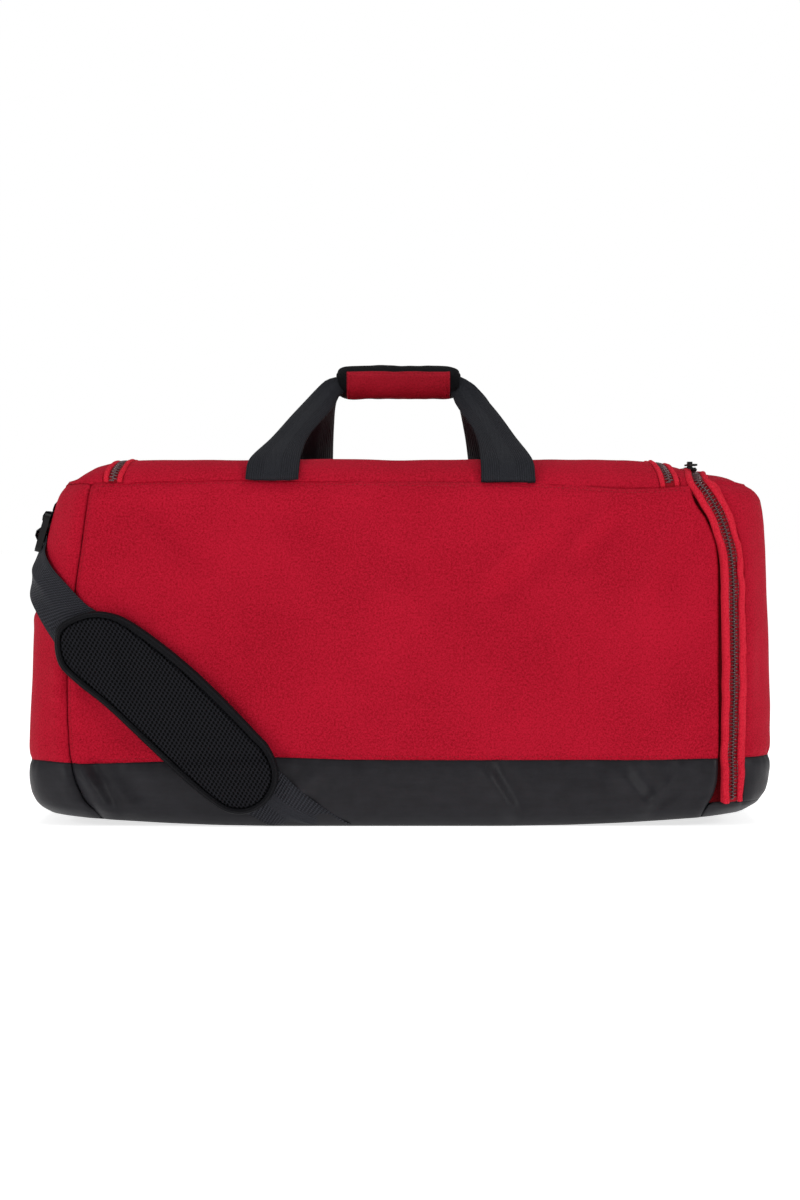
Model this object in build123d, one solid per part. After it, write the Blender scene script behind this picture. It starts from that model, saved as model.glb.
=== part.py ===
from build123d import *
import math
import os

os.makedirs("parts", exist_ok=True)

# ---------------------------------------------------------------------------
# Hockey equipment bag: soft holdall with a U-shaped lid zip, a zipped end
# compartment, two carry handles joined by a grip wrap, and a shoulder strap.
# Millimetres, +Z up, +X along the length, -Y is the near long side.
# The origin is at the bottom centre of the whole object's box.
# ---------------------------------------------------------------------------

# --- driving dimensions ------------------------------------------------------
Y_NEAR = -150.0          # outer face of the near long side
Y_FAR = 162.0            # outer face of the far long side
Y_MID = (Y_NEAR + Y_FAR) / 2
X_HALF = 347.0           # half of the overall length
Z_TOP = 345.0            # crest of the soft body
WALL = 3.0               # sewn fabric with its foam or lining
BASE_T = 4.0             # coated base panel
R_PLAN = 50.0            # upright corners, seen from above
R_TOP = 35.0             # long top edges
R_BASE = 12.0            # long bottom edges
Z_SEAM = 322.0           # seam between the long sides and the top
Z_BAND = 63.0            # top of the dark coated band
GAP = 0.3                # clearance between pieces that move apart
SEAM = 0.15              # gap at a sewn seam inside one body

ZIP_TAPE = 11.0          # visible width of one half of a zip
COIL_W = 3.2             # one row of teeth
COIL_H = 1.6             # height of the teeth over the tape
LID_X0, LID_X1 = -269.0, 254.0   # lid zip, left and right runs
LID_Y1 = 149.0           # lid zip, far run, just over the far shoulder
LID_R = 45.0             # its two far corners

DOOR_Z0 = 15.0           # bottom edge (hinge line) of the end door
DIVIDER_X = 268.0        # wall between main and end compartments

Y_SHIFT = -6.06          # brings the origin to the middle of the whole box
WEB_T = 1.5              # shoulder strap webbing, 50 mm wide
HANDLE_T = 2.5           # handle webbing, doubled and stitched
NEAR_ROOT = (Y_NEAR - 3.0, 322.0)    # fold line of the near handle at its seam
NEAR_BEND = (Y_NEAR + 3.0, 341.0)    # where it leaves the top's shoulder
FAR_ROOT = (Y_FAR + 5.5, 323.0)
FAR_BEND = (Y_FAR + 3.5, 367.0)
GRIP_Z0, GRIP_Z1 = 400.0, 434.0

PAD_C = (-219.0, 107.0)  # shoulder pad centre on the near face
PAD_ANGLE = -42.4        # degrees from +X
PAD_L, PAD_W = 255.0, 79.0


# --- small helpers -----------------------------------------------------------
def prism(points, direction):
    """A closed polygon of 3-D points, pushed along a vector."""
    wire = Wire.make_polygon([Vector(*p) for p in points], close=True)
    return Solid.extrude(Face(wire), Vector(*direction))


def prism_xz(points, y0=-400.0, y1=400.0):
    return prism([(x, y0, z) for x, z in points], (0, y1 - y0, 0))


def prism_yz(points, x0=-500.0, x1=500.0):
    return prism([(x0, y, z) for y, z in points], (x1 - x0, 0, 0))


def prism_xy(points, z0=-100.0, z1=600.0):
    return prism([(x, y, z0) for x, y in points], (0, 0, z1 - z0))


def block(x0, x1, y0, y1, z0, z1):
    return Pos((x0 + x1) / 2, (y0 + y1) / 2, (z0 + z1) / 2) * Box(
        x1 - x0, y1 - y0, z1 - z0
    )


def arc(cx, cy, r, a0, a1, n=9):
    return [
        (
            cx + r * math.cos(math.radians(a0 + (a1 - a0) * i / n)),
            cy + r * math.sin(math.radians(a0 + (a1 - a0) * i / n)),
        )
        for i in range(n + 1)
    ]


def inset(points, d):
    """A convex polygon, counter-clockwise, moved inwards by d."""
    n = len(points)
    out = []
    for i in range(n):
        a, b, c = points[i - 1], points[i], points[(i + 1) % n]
        e1 = (b[0] - a[0], b[1] - a[1])
        e2 = (c[0] - b[0], c[1] - b[1])
        l1, l2 = math.hypot(*e1), math.hypot(*e2)
        n1 = (-e1[1] / l1, e1[0] / l1)
        n2 = (-e2[1] / l2, e2[0] / l2)
        k = 1 + n1[0] * n2[0] + n1[1] * n2[1]
        out.append((b[0] + d * (n1[0] + n2[0]) / k, b[1] + d * (n1[1] + n2[1]) / k))
    return out


def one(shape):
    """Keep the largest solid of a cut, and drop slivers."""
    solids = sorted(shape.solids(), key=lambda s: -s.volume)
    return solids[0]


def several(shape, least=20.0):
    """All solids of a cut that are larger than a sliver."""
    solids = [s for s in shape.solids() if s.volume > least]
    return solids[0] if len(solids) == 1 else Compound(children=solids)


def ribbon(sections, down, up):
    """A strip through rows of points across its width. It is thick from -down
    to +up along the local normal."""
    rows = []
    for row in sections:
        row = [Vector(*p) for p in row]
        if len(row) == 2:
            row = [row[0], (row[0] + row[1]) * 0.5, row[1]]
        rows.append(row)
    n, m = len(rows), len(rows[0])
    low, high = [], []
    for i in range(n):
        lo_row, hi_row = [], []
        for j in range(m):
            t = rows[min(i + 1, n - 1)][j] - rows[max(i - 1, 0)][j]
            w = rows[i][min(j + 1, m - 1)] - rows[i][max(j - 1, 0)]
            nrm = t.cross(w).normalized()
            lo_row.append(rows[i][j] - nrm * down)
            hi_row.append(rows[i][j] + nrm * up)
        low.append(lo_row)
        high.append(hi_row)
    faces = []

    def quad(p, q, r, s):
        faces.append(Face(Wire.make_polygon([p, q, r], close=True)))
        faces.append(Face(Wire.make_polygon([p, r, s], close=True)))

    for i in range(n - 1):
        for j in range(m - 1):
            quad(high[i][j], high[i][j + 1], high[i + 1][j + 1], high[i + 1][j])
            quad(low[i][j], low[i + 1][j], low[i + 1][j + 1], low[i][j + 1])
        quad(high[i][0], high[i + 1][0], low[i + 1][0], low[i][0])
        quad(high[i][-1], low[i][-1], low[i + 1][-1], high[i + 1][-1])
    for j in range(m - 1):
        quad(high[0][j], low[0][j], low[0][j + 1], high[0][j + 1])
        quad(high[-1][j], high[-1][j + 1], low[-1][j + 1], low[-1][j])
    return Solid(Shell(faces))


# --- the sewn shell ----------------------------------------------------------
# outline of the long side: the left end leans in, the right end is fuller
FRONT = [
    (-318.0, 0.0), (320.0, 0.0), (335.0, 8.0), (342.0, 25.0), (346.5, 55.0),
    (347.0, 112.0), (345.6, 175.0), (343.7, 232.0), (341.5, 270.0),
    (338.5, 298.0), (330.0, 315.0), (314.0, 325.5), (290.0, 329.5),
    (270.0, 333.0), (257.0, 339.0), (230.0, 345.0), (-245.0, 345.0), (-283.0, 340.5),
    (-309.0, 326.0), (-320.0, 308.0), (-326.0, 288.0), (-334.0, 245.0),
    (-341.0, 204.0), (-343.5, 141.0), (-346.5, 85.0), (-347.0, 60.0),
    (-344.0, 30.0), (-335.0, 9.0),
]


def plan_outline():
    r = R_PLAN
    x0, x1, y0, y1 = -X_HALF, X_HALF, Y_NEAR, Y_FAR
    return (
        arc(x1 - r, y0 + r, r, -90, 0)
        + arc(x1 - r, y1 - r, r, 0, 90)
        + arc(x0 + r, y1 - r, r, 90, 180)
        + arc(x0 + r, y0 + r, r, 180, 270)
    )


def side_outline():
    y0, y1 = Y_NEAR, Y_FAR
    return (
        arc(y0 + R_BASE, R_BASE, R_BASE, 180, 270, 4)
        + arc(y1 - R_BASE, R_BASE, R_BASE, 270, 360, 4)
        + arc(y1 - R_TOP, Z_TOP - R_TOP, R_TOP, 0, 90)
        + arc(y0 + R_TOP, Z_TOP - R_TOP, R_TOP, 90, 180)
    )


outer = (
    prism_xy(plan_outline())
    & prism_xz(FRONT)
    & prism_yz(side_outline())
)
inner = (
    prism_xy(inset(plan_outline(), WALL), BASE_T, 600)
    & prism_xz(inset(FRONT, WALL))
    & prism_yz(inset(side_outline(), WALL))
)
inner = inner & block(-500, 500, -400, 400, BASE_T, 600)
shell = outer - inner

# seam lines on the long sides, as (x, z)
LEFT_SEAM = [
    (-290.0, 330.0), (-290.0, 322.0), (-294.7, 295.0), (-298.5, 267.0),
    (-305.0, 225.0), (-311.7, 141.0), (-311.7, 100.0), (-309.0, 70.0),
    (-309.0, -20.0),
]
END_ZIP = [
    (311.0, -20.0), (311.0, 240.0), (309.0, 262.0), (305.0, 276.0),
    (297.0, 292.0), (289.0, 304.0), (285.0, 315.0), (283.0, 325.0),
    (283.0, 420.0),
]


def right_of(line, shift):
    return prism_xz(
        [(x + shift, z) for x, z in line] + [(520.0, line[-1][1]), (520.0, line[0][1])]
    )


def left_of(line, shift):
    return prism_xz(
        [(x + shift, z) for x, z in line]
        + [(-520.0, line[-1][1]), (-520.0, line[0][1])]
    )


def slab(z0, z1):
    return block(-520, 520, -400, 400, z0, z1)


left_part = left_of(LEFT_SEAM, -SEAM)
mid_left = right_of(LEFT_SEAM, SEAM)
body_side = left_of(END_ZIP, -ZIP_TAPE - SEAM)
near_half = block(-520, 520, -400, Y_MID, -50, 600)
far_half = block(-520, 520, Y_MID + SEAM, 400, -50, 600)

# --- the lid zip's plan: a U open to the near side ---------------------------
def lid_u(d):
    """The U of the lid zip, moved inwards by d, as a tall prism."""
    x0, x1, y1, r = LID_X0 + d, LID_X1 - d, LID_Y1 - d, max(LID_R - d, 5.0)
    pts = (
        [(x0, -300.0), (x1, -300.0)]
        + arc(x1 - r, y1 - r, r, 0, 90)
        + arc(x0 + r, y1 - r, r, 90, 180)
    )
    return prism_xy(pts)


top_zone = slab(Z_SEAM + SEAM, 600)
top_shell = shell & top_zone
side_shell = shell & slab(Z_BAND + SEAM, Z_SEAM - SEAM)
band_shell = shell & slab(BASE_T + SEAM, Z_BAND - SEAM)

# --- shoulder strap route: pairs of edge points ------------------------------
def on_front(x, z, off):
    """A point held off the near face, round its left upright corner too."""
    cx, cy, r = -X_HALF + R_PLAN, Y_NEAR + R_PLAN, R_PLAN + off
    if x >= cx:
        return (x, Y_NEAR - off, z)
    dx = min(cx - x, r * 0.999)
    return (x, cy - math.sqrt(r * r - dx * dx), z)


ca, sa = math.cos(math.radians(PAD_ANGLE)), math.sin(math.radians(PAD_ANGLE))


def pad_line(s, half):
    """Edge points of the strap under the pad, s along it from the middle."""
    cx, cz = PAD_C[0] + s * ca, PAD_C[1] + s * sa
    return (cx - half * sa, cz + half * ca), (cx + half * sa, cz - half * ca)


OFF = 2.2
def on_corner(angle, z, off):
    """A point round the near left upright corner: 0 faces -Y, 90 faces -X."""
    r = R_PLAN + off
    a = math.radians(angle)
    return (-X_HALF + R_PLAN - r * math.sin(a), Y_NEAR + R_PLAN - r * math.cos(a), z)


strap_sections = [
    ((-334.9, -103.0, 271.6), (-334.9, -78.0, 271.6), (-334.9, -53.0, 271.6)),
    ((-335.6, -105.5, 262.0), (-336.2, -80.5, 260.5), (-336.8, -55.5, 259.0)),
    ((-336.5, -122.0, 254.0), (-340.6, -99.0, 248.5), (-342.5, -74.5, 243.0)),
    (on_corner(41.0, 242.0, 4.2), (-342.8, -117.5, 236.0), (-345.0, -92.0, 229.5)),
    (on_corner(19.0, 226.5, 3.0), on_corner(46.0, 221.0, 4.2), (-345.6, -110.0, 214.0)),
    (on_corner(-4.0, 210.0, OFF), on_corner(22.5, 205.5, 3.2), on_corner(49.0, 199.0, 4.4)),
]
(e1, e2) = pad_line(-101.0, 25.0)
strap_sections.append((on_front(-281.0, 201.0, OFF), on_front(-302.0, 190.0, OFF), on_corner(31.0, 177.0, 2.4)))
strap_sections.append((on_front(*e1, OFF), on_front(e1[0] / 2 + e2[0] / 2, e1[1] / 2 + e2[1] / 2, OFF), on_front(*e2, OFF)))
for s in (0.0, 101.0):
    (e1, e2) = pad_line(s, 25.0)
    strap_sections.append((on_front(*e1, OFF), on_front(*e2, OFF)))
strap_sections += [
    ((-112.0, Y_NEAR - OFF, 44.0), (-140.0, Y_NEAR - OFF, 5.0)),
    ((-98.0, Y_NEAR - OFF, 33.0), (-124.0, Y_NEAR + 0.5, 1.2)),
    ((-84.0, Y_NEAR - OFF, 21.0), (-111.0, Y_NEAR + 14.0, 0.9)),
    ((-68.0, Y_NEAR - 1.6, 9.0), (-99.0, Y_NEAR + 27.0, 0.9)),
    ((-57.0, Y_NEAR + 3.0, 1.3), (-90.0, Y_NEAR + 38.0, 0.9)),
    ((-46.0, Y_NEAR + 15.0, 0.9), (-80.0, Y_NEAR + 51.0, 0.9)),
]
# straight run under the base towards the far right
UX, UY = 0.66, 0.7513
for s in (60.0, 180.0, 300.0):
    cx, cy = -66.0 + UX * s, Y_NEAR + 33.0 + UY * s
    strap_sections.append(
        ((cx + 25.0 * UY, cy - 25.0 * UX, 0.9), (cx - 25.0 * UY, cy + 25.0 * UX, 0.9))
    )
strap_sections += [
    ((206.0, 134.0, 0.9), (157.0, 148.0, 0.9)),
    ((214.0, 149.0, 1.0), (162.0, 158.0, 1.2)),
    ((219.0, 159.5, 3.0), (166.0, 163.2, 12.0)),
    ((223.0, 164.2, 16.0), (170.0, 164.2, 27.0)),
    ((236.0, 164.2, 90.0), (187.0, 164.2, 98.0)),
    ((250.0, 164.2, 180.0), (200.5, 164.2, 186.0)),
    ((257.0, 164.2, 240.0), (207.0, 164.2, 240.0)),
    ((257.5, 163.8, 254.0), (207.5, 163.8, 254.0)),
    ((257.5, 163.4, 270.4), (207.5, 163.4, 270.4)),
]
strap = ribbon(strap_sections, WEB_T / 2, WEB_T / 2)
strap_way_wide = ribbon(
    [
        (
            tuple(r[0][k] + (r[0][k] - r[-1][k]) * 0.05 for k in range(3)),
            tuple(r[-1][k] + (r[-1][k] - r[0][k]) * 0.05 for k in range(3)),
        )
        for r in strap_sections[9:-3]
    ],
    2.1,
    2.1,
)

# --- root body: sewn panels --------------------------------------------------
nodes = {}
nodes["front_panel"] = one(side_shell & mid_left & body_side & near_half)
nodes["back_panel"] = one(side_shell & mid_left & body_side & far_half)
nodes["left_end_panel"] = one(side_shell & left_part)
nodes["front_band"] = one((band_shell & mid_left & body_side & near_half) - strap_way_wide)
nodes["back_band"] = one((band_shell & mid_left & body_side & far_half) - strap_way_wide)
nodes["left_end_band"] = one(band_shell & left_part)
nodes["base_panel"] = one(
    (outer & slab(0, BASE_T) & left_of([(311.0, -20.0), (311.0, 400.0)], -ZIP_TAPE - SEAM))
    - strap_way_wide
)
nodes["end_sill"] = one(
    shell & slab(-5, DOOR_Z0 - SEAM) & right_of([(311.0, -20.0), (311.0, 400.0)], -ZIP_TAPE)
)
lid_out = lid_u(-ZIP_TAPE - SEAM)
strips = (top_shell & body_side) - lid_out
nodes["left_top_strip"] = one(strips & block(-520, -100, -400, 400, 0, 600))
nodes["right_top_strip"] = one(strips & block(100, 520, -400, 400, 0, 600))
nodes["end_divider"] = one(
    (inner & block(DIVIDER_X, DIVIDER_X + 2.0, -400, 400, BASE_T + 0.3, 600)).scale(1.0)
    & prism_xy(inset(plan_outline(), WALL + 0.4))
    & prism_yz(inset(side_outline(), WALL + 0.6))
    & prism_xz(inset(FRONT, WALL + 0.6))
)

# --- lid zip -----------------------------------------------------------------
raised = (
    prism_xy(plan_outline())
    & prism_xz(inset(FRONT, -COIL_H))
    & prism_yz(inset(side_outline(), -COIL_H))
)
crust = raised - outer
lid_zone = slab(Z_SEAM + 2.0, 600)
nodes["lid_zip_tape_fixed"] = one(top_shell & (lid_u(-ZIP_TAPE) - lid_u(-GAP / 2)))
nodes["lid_zip_tape_moving"] = one(
    (top_shell & slab(Z_SEAM + GAP, 600)) & (lid_u(GAP / 2) - lid_u(ZIP_TAPE))
)
nodes["lid_zip_teeth_fixed"] = one(crust & lid_zone & (lid_u(-COIL_W) - lid_u(-GAP / 2)))
nodes["lid_zip_teeth_moving"] = one(crust & lid_zone & (lid_u(GAP / 2) - lid_u(COIL_W)))
nodes["lid_panel"] = one((top_shell & slab(Z_SEAM + GAP, 600)) & lid_u(ZIP_TAPE + SEAM))
welt = raised - outer
nodes["lid_welt"] = one(
    welt & lid_zone & (lid_u(ZIP_TAPE - 3.0) - lid_u(ZIP_TAPE + 1.0))
)
nodes["top_welt"] = one(
    welt & lid_zone & (lid_u(-ZIP_TAPE - 1.0) - lid_u(-ZIP_TAPE + 3.0))
)

# --- end compartment: zip and door ------------------------------------------
door_zone = slab(DOOR_Z0 + GAP, 600)
end_shell = shell & door_zone
raised_all = (
    prism_xy(inset(plan_outline(), -COIL_H))
    & prism_xz(inset(FRONT, -COIL_H))
    & prism_yz(inset(side_outline(), -COIL_H))
)
crust_all = (raised_all - outer) & slab(DOOR_Z0 + 3.0, 600)


def zip_run(a, b):
    return right_of(END_ZIP, a) & left_of(END_ZIP, b)


nodes["end_zip_tape_fixed"] = one(end_shell & zip_run(-ZIP_TAPE, -GAP / 2))
nodes["end_zip_tape_moving"] = one(end_shell & zip_run(GAP / 2, ZIP_TAPE))
nodes["end_zip_teeth_fixed"] = one(crust_all & zip_run(-COIL_W, -GAP / 2))
nodes["end_zip_teeth_moving"] = one(crust_all & zip_run(GAP / 2, COIL_W))
nodes["end_welt_fixed"] = one(crust_all & zip_run(-ZIP_TAPE - 0.5, -ZIP_TAPE + 5.0))
nodes["end_welt_moving"] = one(crust_all & zip_run(ZIP_TAPE - 5.0, ZIP_TAPE + 0.5))
door = end_shell & right_of(END_ZIP, ZIP_TAPE + SEAM)
nodes["end_door_panel"] = one(door & slab(Z_BAND + SEAM, 600))
nodes["end_door_band"] = one(door & slab(0, Z_BAND - SEAM))

# --- carry handles -----------------------------------------------------------
def strip_yz(p, q, a, b, half):
    """Section of webbing along p to q, from a after p to b before q."""
    dy, dz = q[0] - p[0], q[1] - p[1]
    n = math.hypot(dy, dz)
    dy, dz = dy / n, dz / n
    s, e = (p[0] + a * dy, p[1] + a * dz), (q[0] - b * dy, q[1] - b * dz)
    return prism_yz(
        [
            (s[0] + half * dz, s[1] - half * dy), (e[0] + half * dz, e[1] - half * dy),
            (e[0] - half * dz, e[1] + half * dy), (s[0] - half * dz, s[1] + half * dy),
        ]
    )


def handle(outline, root, bend, top):
    """Two root tabs, and the legs with their folded grip, as two pieces."""
    dy, dz = top[0] - bend[0], top[1] - bend[1]
    n = math.hypot(dy, dz)
    full = prism_xz(outline)
    tabs = full & strip_yz(root, bend, 1.3, 2.5, HANDLE_T / 2)
    legs = full & strip_yz(bend, top, 3.0, 0.0, HANDLE_T / 2)
    grip = block(-62.0, 60.0, -400, 400, 0, 600) & strip_yz(bend, top, n - 26.0, 0.0, 2.5)
    return several(tabs), one(legs + grip)


NEAR_OUTLINE = [
    (-144.0, 300.0), (-144.0, 324.0), (-141.0, 346.0), (-102.0, 384.0),
    (-77.0, 410.0), (-70.0, 418.0), (-62.0, 430.0), (60.0, 430.0),
    (66.0, 420.0), (74.0, 411.0), (90.0, 393.0), (110.0, 366.0),
    (125.0, 345.0), (127.0, 323.5), (127.0, 300.0), (76.5, 300.0),
    (76.5, 324.0), (76.0, 345.0), (74.0, 362.0), (69.3, 373.4),
    (59.9, 386.0), (53.0, 400.0), (52.0, 413.0), (-57.0, 413.0),
    (-60.0, 400.0), (-64.6, 392.0), (-75.0, 379.6), (-86.7, 366.0),
    (-92.0, 352.7), (-94.4, 327.6), (-94.4, 300.0),
]
FAR_OUTLINE = [
    (-119.0, 300.0), (-119.0, 324.0), (-116.0, 346.0), (-100.0, 384.0),
    (-78.0, 410.0), (-70.0, 418.0), (-62.0, 430.0), (60.0, 430.0),
    (66.0, 420.0), (76.0, 411.0), (98.0, 384.0), (119.0, 345.0),
    (122.0, 323.5), (122.0, 300.0), (72.0, 300.0), (72.0, 324.0),
    (70.0, 345.0), (62.0, 380.0), (56.0, 400.0), (55.0, 416.5),
    (-59.0, 416.5), (-60.0, 400.0), (-64.0, 380.0), (-68.0, 345.0),
    (-69.0, 324.0), (-69.0, 300.0),
]
nodes["near_handle_roots"], nodes["near_handle_webbing"] = handle(
    NEAR_OUTLINE, NEAR_ROOT, NEAR_BEND, (Y_MID - 2.6, 423.3)
)
nodes["far_handle_roots"], nodes["far_handle_webbing"] = handle(
    FAR_OUTLINE, FAR_ROOT, FAR_BEND, (Y_MID + 2.6, 423.3)
)

# padded wrap round both folded grips
gm = (GRIP_Z0 + GRIP_Z1) / 2


def roll(half_y, half_z, x0, x1, r):
    y0, y1, z0, z1 = Y_MID - half_y, Y_MID + half_y, gm - half_z, gm + half_z
    pts = (
        arc(y0 + r, z0 + r, r, 180, 270, 6)
        + arc(y1 - r, z0 + r, r, 270, 360, 6)
        + arc(y1 - r, z1 - r, r, 0, 90, 6)
        + arc(y0 + r, z1 - r, r, 90, 180, 6)
    )
    return prism_yz(pts, x0, x1)


nodes["grip_wrap"] = one(roll(32.0, 16.5, -52.0, 49.5, 12.0) - roll(29.4, 14.0, -60.0, 60.0, 9.5))
nodes["grip_wrap_face"] = one(
    (roll(33.2, 17.5, -49.0, 46.5, 13.0) - roll(32.15, 16.65, -60.0, 60.0, 12.1))
    & prism_yz([(-60.0, 401.0), (Y_MID - 12.0, 401.0), (Y_MID - 12.0, 427.0), (-60.0, 427.0)])
)

# --- zip sliders and pulls ---------------------------------------------------
def top_z(x):
    for (xa, za), (xb, zb) in zip(FRONT[12:18], FRONT[13:19]):
        if xb <= x <= xa:
            return za + (zb - za) * (x - xa) / (xb - xa)
    return Z_TOP


def slider(cx, cy, z, along):
    """Slider body with its bridge; along is +1 or -1 for the pull's side."""
    wide = Box(15.0, 10.6, 2.6)
    nose = Pos(-5.0 * along, 0, 0) * Box(4.0, 7.0, 3.4)
    post = Pos(-4.6 * along, 0, 3.4) * Box(1.8, 4.6, 5.2)
    post2 = Pos(4.2 * along, 0, 3.4) * Box(1.8, 4.6, 5.2)
    bridge = Pos(-0.2 * along, 0, 6.2) * Box(10.6, 4.6, 1.4)
    return one(Pos(cx, cy, z + 1.3) * (wide + nose + post + post2 + bridge))


def pull(cx, cy, z, along):
    """A flat pull tab whose ring end lies under the slider's bridge."""
    ring = Box(13.0, 10.0, 1.6) - Pos(0.6 * along, 0, 0) * Box(9.0, 6.2, 3.0)
    tab = Pos(18.0 * along, 0, 0) * Box(24.0, 9.0, 1.8)
    tip = Pos(30.0 * along, 0, 0) * Cylinder(4.5, 1.8)
    return one(Pos(cx + 5.4 * along, cy, z + 4.7) * (ring + tab + tip))


# lid sliders stand square on the far shoulder, over the fixed row of teeth
SL_ANGLE = math.degrees(math.acos((LID_Y1 - (Y_FAR - R_TOP)) / R_TOP)) - 10.6
SL_R = R_TOP + COIL_H + 1.3
SL_Y = Y_FAR - R_TOP + SL_R * math.cos(math.radians(SL_ANGLE))
SL_Z = Z_TOP - R_TOP + SL_R * math.sin(math.radians(SL_ANGLE))
SL_X = 9.5


def on_shoulder(x, shape):
    return Pos(x, SL_Y, SL_Z) * Rot(-(90.0 - SL_ANGLE), 0, 0) * shape


nodes["lid_slider_left"] = on_shoulder(-SL_X, slider(0, 0, 0, -1))
nodes["lid_slider_right"] = on_shoulder(SL_X, slider(0, 0, 0, 1))
nodes["lid_pull_left"] = on_shoulder(-SL_X, pull(0, 0, 0, -1))
nodes["lid_pull_right"] = on_shoulder(SL_X, pull(0, 0, 0, 1))

# end compartment slider, on the crest, its pull towards the near side
ES_X, ES_Y = END_ZIP[-1][0] - 6.6, -92.0
ES_Z = top_z(ES_X - 6.0) + COIL_H + 0.9
turn = Pos(ES_X, ES_Y, 0) * Rot(0, 0, -90)
nodes["end_slider"] = turn * slider(0, 0, ES_Z, 1)
nodes["end_pull"] = turn * pull(0, 0, ES_Z, 1)
print("slider frame", SL_ANGLE, SL_Y, SL_Z, "end slider", ES_X, ES_Y, ES_Z)

# --- strap anchors: webbing chapes and ladder buckles -------------------------
def buckle():
    """Flat ladder buckle: frame, two slots, a grip lip. Pin bar at the origin,
    plate hanging down -Z, wide along Y, outward face at -X."""
    frame = Pos(0, 0, -15.0) * Box(6.0, 61.0, 38.0)
    frame = fillet(frame.edges().filter_by(Axis.X), 5.0)
    slot1 = Pos(0, 0, -8.2) * Box(20.0, 52.5, 8.6)
    slot2 = Pos(0, 0, -23.6) * Box(20.0, 52.5, 8.6)
    return frame - slot1 - slot2


BK_L = (-334.4, -78.0, 290.5)
BK_L_PLACE = Pos(*BK_L) * Rot(0, 16.0, 0)
nodes["left_buckle"] = BK_L_PLACE * buckle()
BK_R = (232.5, Y_FAR + 5.8, 288.0)
BK_R_PLACE = Pos(*BK_R) * Rot(0, 0, -90) * Rot(0, 4.0, 0)
nodes["right_buckle"] = BK_R_PLACE * buckle()


def bar_loop(z0, z1, half_x, width):
    """A band of webbing round one bar of a buckle, in the buckle's frame."""
    out = Pos(0, 0, (z0 + z1) / 2) * Box(2 * half_x + 3.0, width, z1 - z0 + 3.0)
    hole = Pos(0, 0, (z0 + z1) / 2) * Box(2 * half_x, width + 4, z1 - z0)
    return out - hole


def tail(points, width, placed):
    """A sewn tail of webbing: path in (out, up), pushed across its width."""
    half = 0.75
    left, right = [], []
    for i, p in enumerate(points):
        a, b = points[max(i - 1, 0)], points[min(i + 1, len(points) - 1)]
        dx, dz = b[0] - a[0], b[1] - a[1]
        n = math.hypot(dx, dz)
        left.append((p[0] - dz / n * half, p[1] + dx / n * half))
        right.append((p[0] + dz / n * half, p[1] - dx / n * half))
    outline = left + right[::-1]
    return placed * prism([(x, -width / 2, z) for x, z in outline], (0, width, 0))


# chapes: loop through the upper slot, tail up into the top seam
loop = bar_loop(-4.9, 4.9, 3.9, 48.0)
nodes["left_chape"] = one(
    BK_L_PLACE * loop
    + tail([(-334.6, 296.0), (-323.2, 307.6), (-314.0, 322.6)], 48.0, Pos(0, -78.0, 0))
)
nodes["right_chape"] = one(
    BK_R_PLACE * loop
    + tail(
        [(-6.2, 293.8), (-1.9, 304.0), (-1.5, 312.0), (-0.2, 319.5)], 48.0,
        Pos(BK_R[0], Y_FAR, 0) * Rot(0, 0, -90),
    )
)

# --- shoulder pad ------------------------------------------------------------
pad_place = Pos(PAD_C[0], 0, PAD_C[1]) * Rot(0, -PAD_ANGLE, 0)


def pad_plate(length, width, radius, y0, y1):
    sk = Plane.XZ * RectangleRounded(length, width, radius)
    return pad_place * (Pos(0, y1, 0) * extrude(sk, y1 - y0))


nodes["pad_cushion"] = one(pad_plate(PAD_L - 12, PAD_W - 12, 30.0, -163.6, -154.4))
ring = pad_plate(PAD_L, PAD_W, 36.0, -162.4, -154.8) - pad_plate(
    PAD_L - 11.6, PAD_W - 11.6, 30.2, -170.0, -150.0
)
nodes["pad_binding"] = one(ring)


def keeper(s):
    back = Pos(s, -150.45, 0) * Box(22.0, 0.5, 60.0)
    lip1 = Pos(s, -152.4, 28.2) * Box(22.0, 4.0, 3.2)
    lip2 = Pos(s, -152.4, -28.2) * Box(22.0, 4.0, 3.2)
    return pad_place * (back + lip1 + lip2)


nodes["pad_keepers"] = Compound(children=[keeper(-27.0), keeper(57.0)])
end_loop = bar_loop(-20.4, -11.4, 4.9, 50.0)
nodes["strap_webbing"] = one(strap + BK_L_PLACE * end_loop + BK_R_PLACE * end_loop)

low = [1e9, 1e9, 1e9]
high = [-1e9, -1e9, -1e9]
for name, shape in nodes.items():
    shape = Pos(0, Y_SHIFT, 0) * shape
    export_step(shape, f"parts/{name}.step")
    bb = shape.bounding_box()
    print(
        f"{name:24s} solids {len(shape.solids())} vol {shape.volume/1000:9.2f} cm3  "
        f"x {bb.min.X:7.1f} {bb.max.X:7.1f}  y {bb.min.Y:7.1f} {bb.max.Y:7.1f}  "
        f"z {bb.min.Z:7.1f} {bb.max.Z:7.1f}"
    )
    low = [min(a, b) for a, b in zip(low, (bb.min.X, bb.min.Y, bb.min.Z))]
    high = [max(a, b) for a, b in zip(high, (bb.max.X, bb.max.Y, bb.max.Z))]
print(len(nodes), "nodes, box", [round(v, 2) for v in low], [round(v, 2) for v in high])
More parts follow.
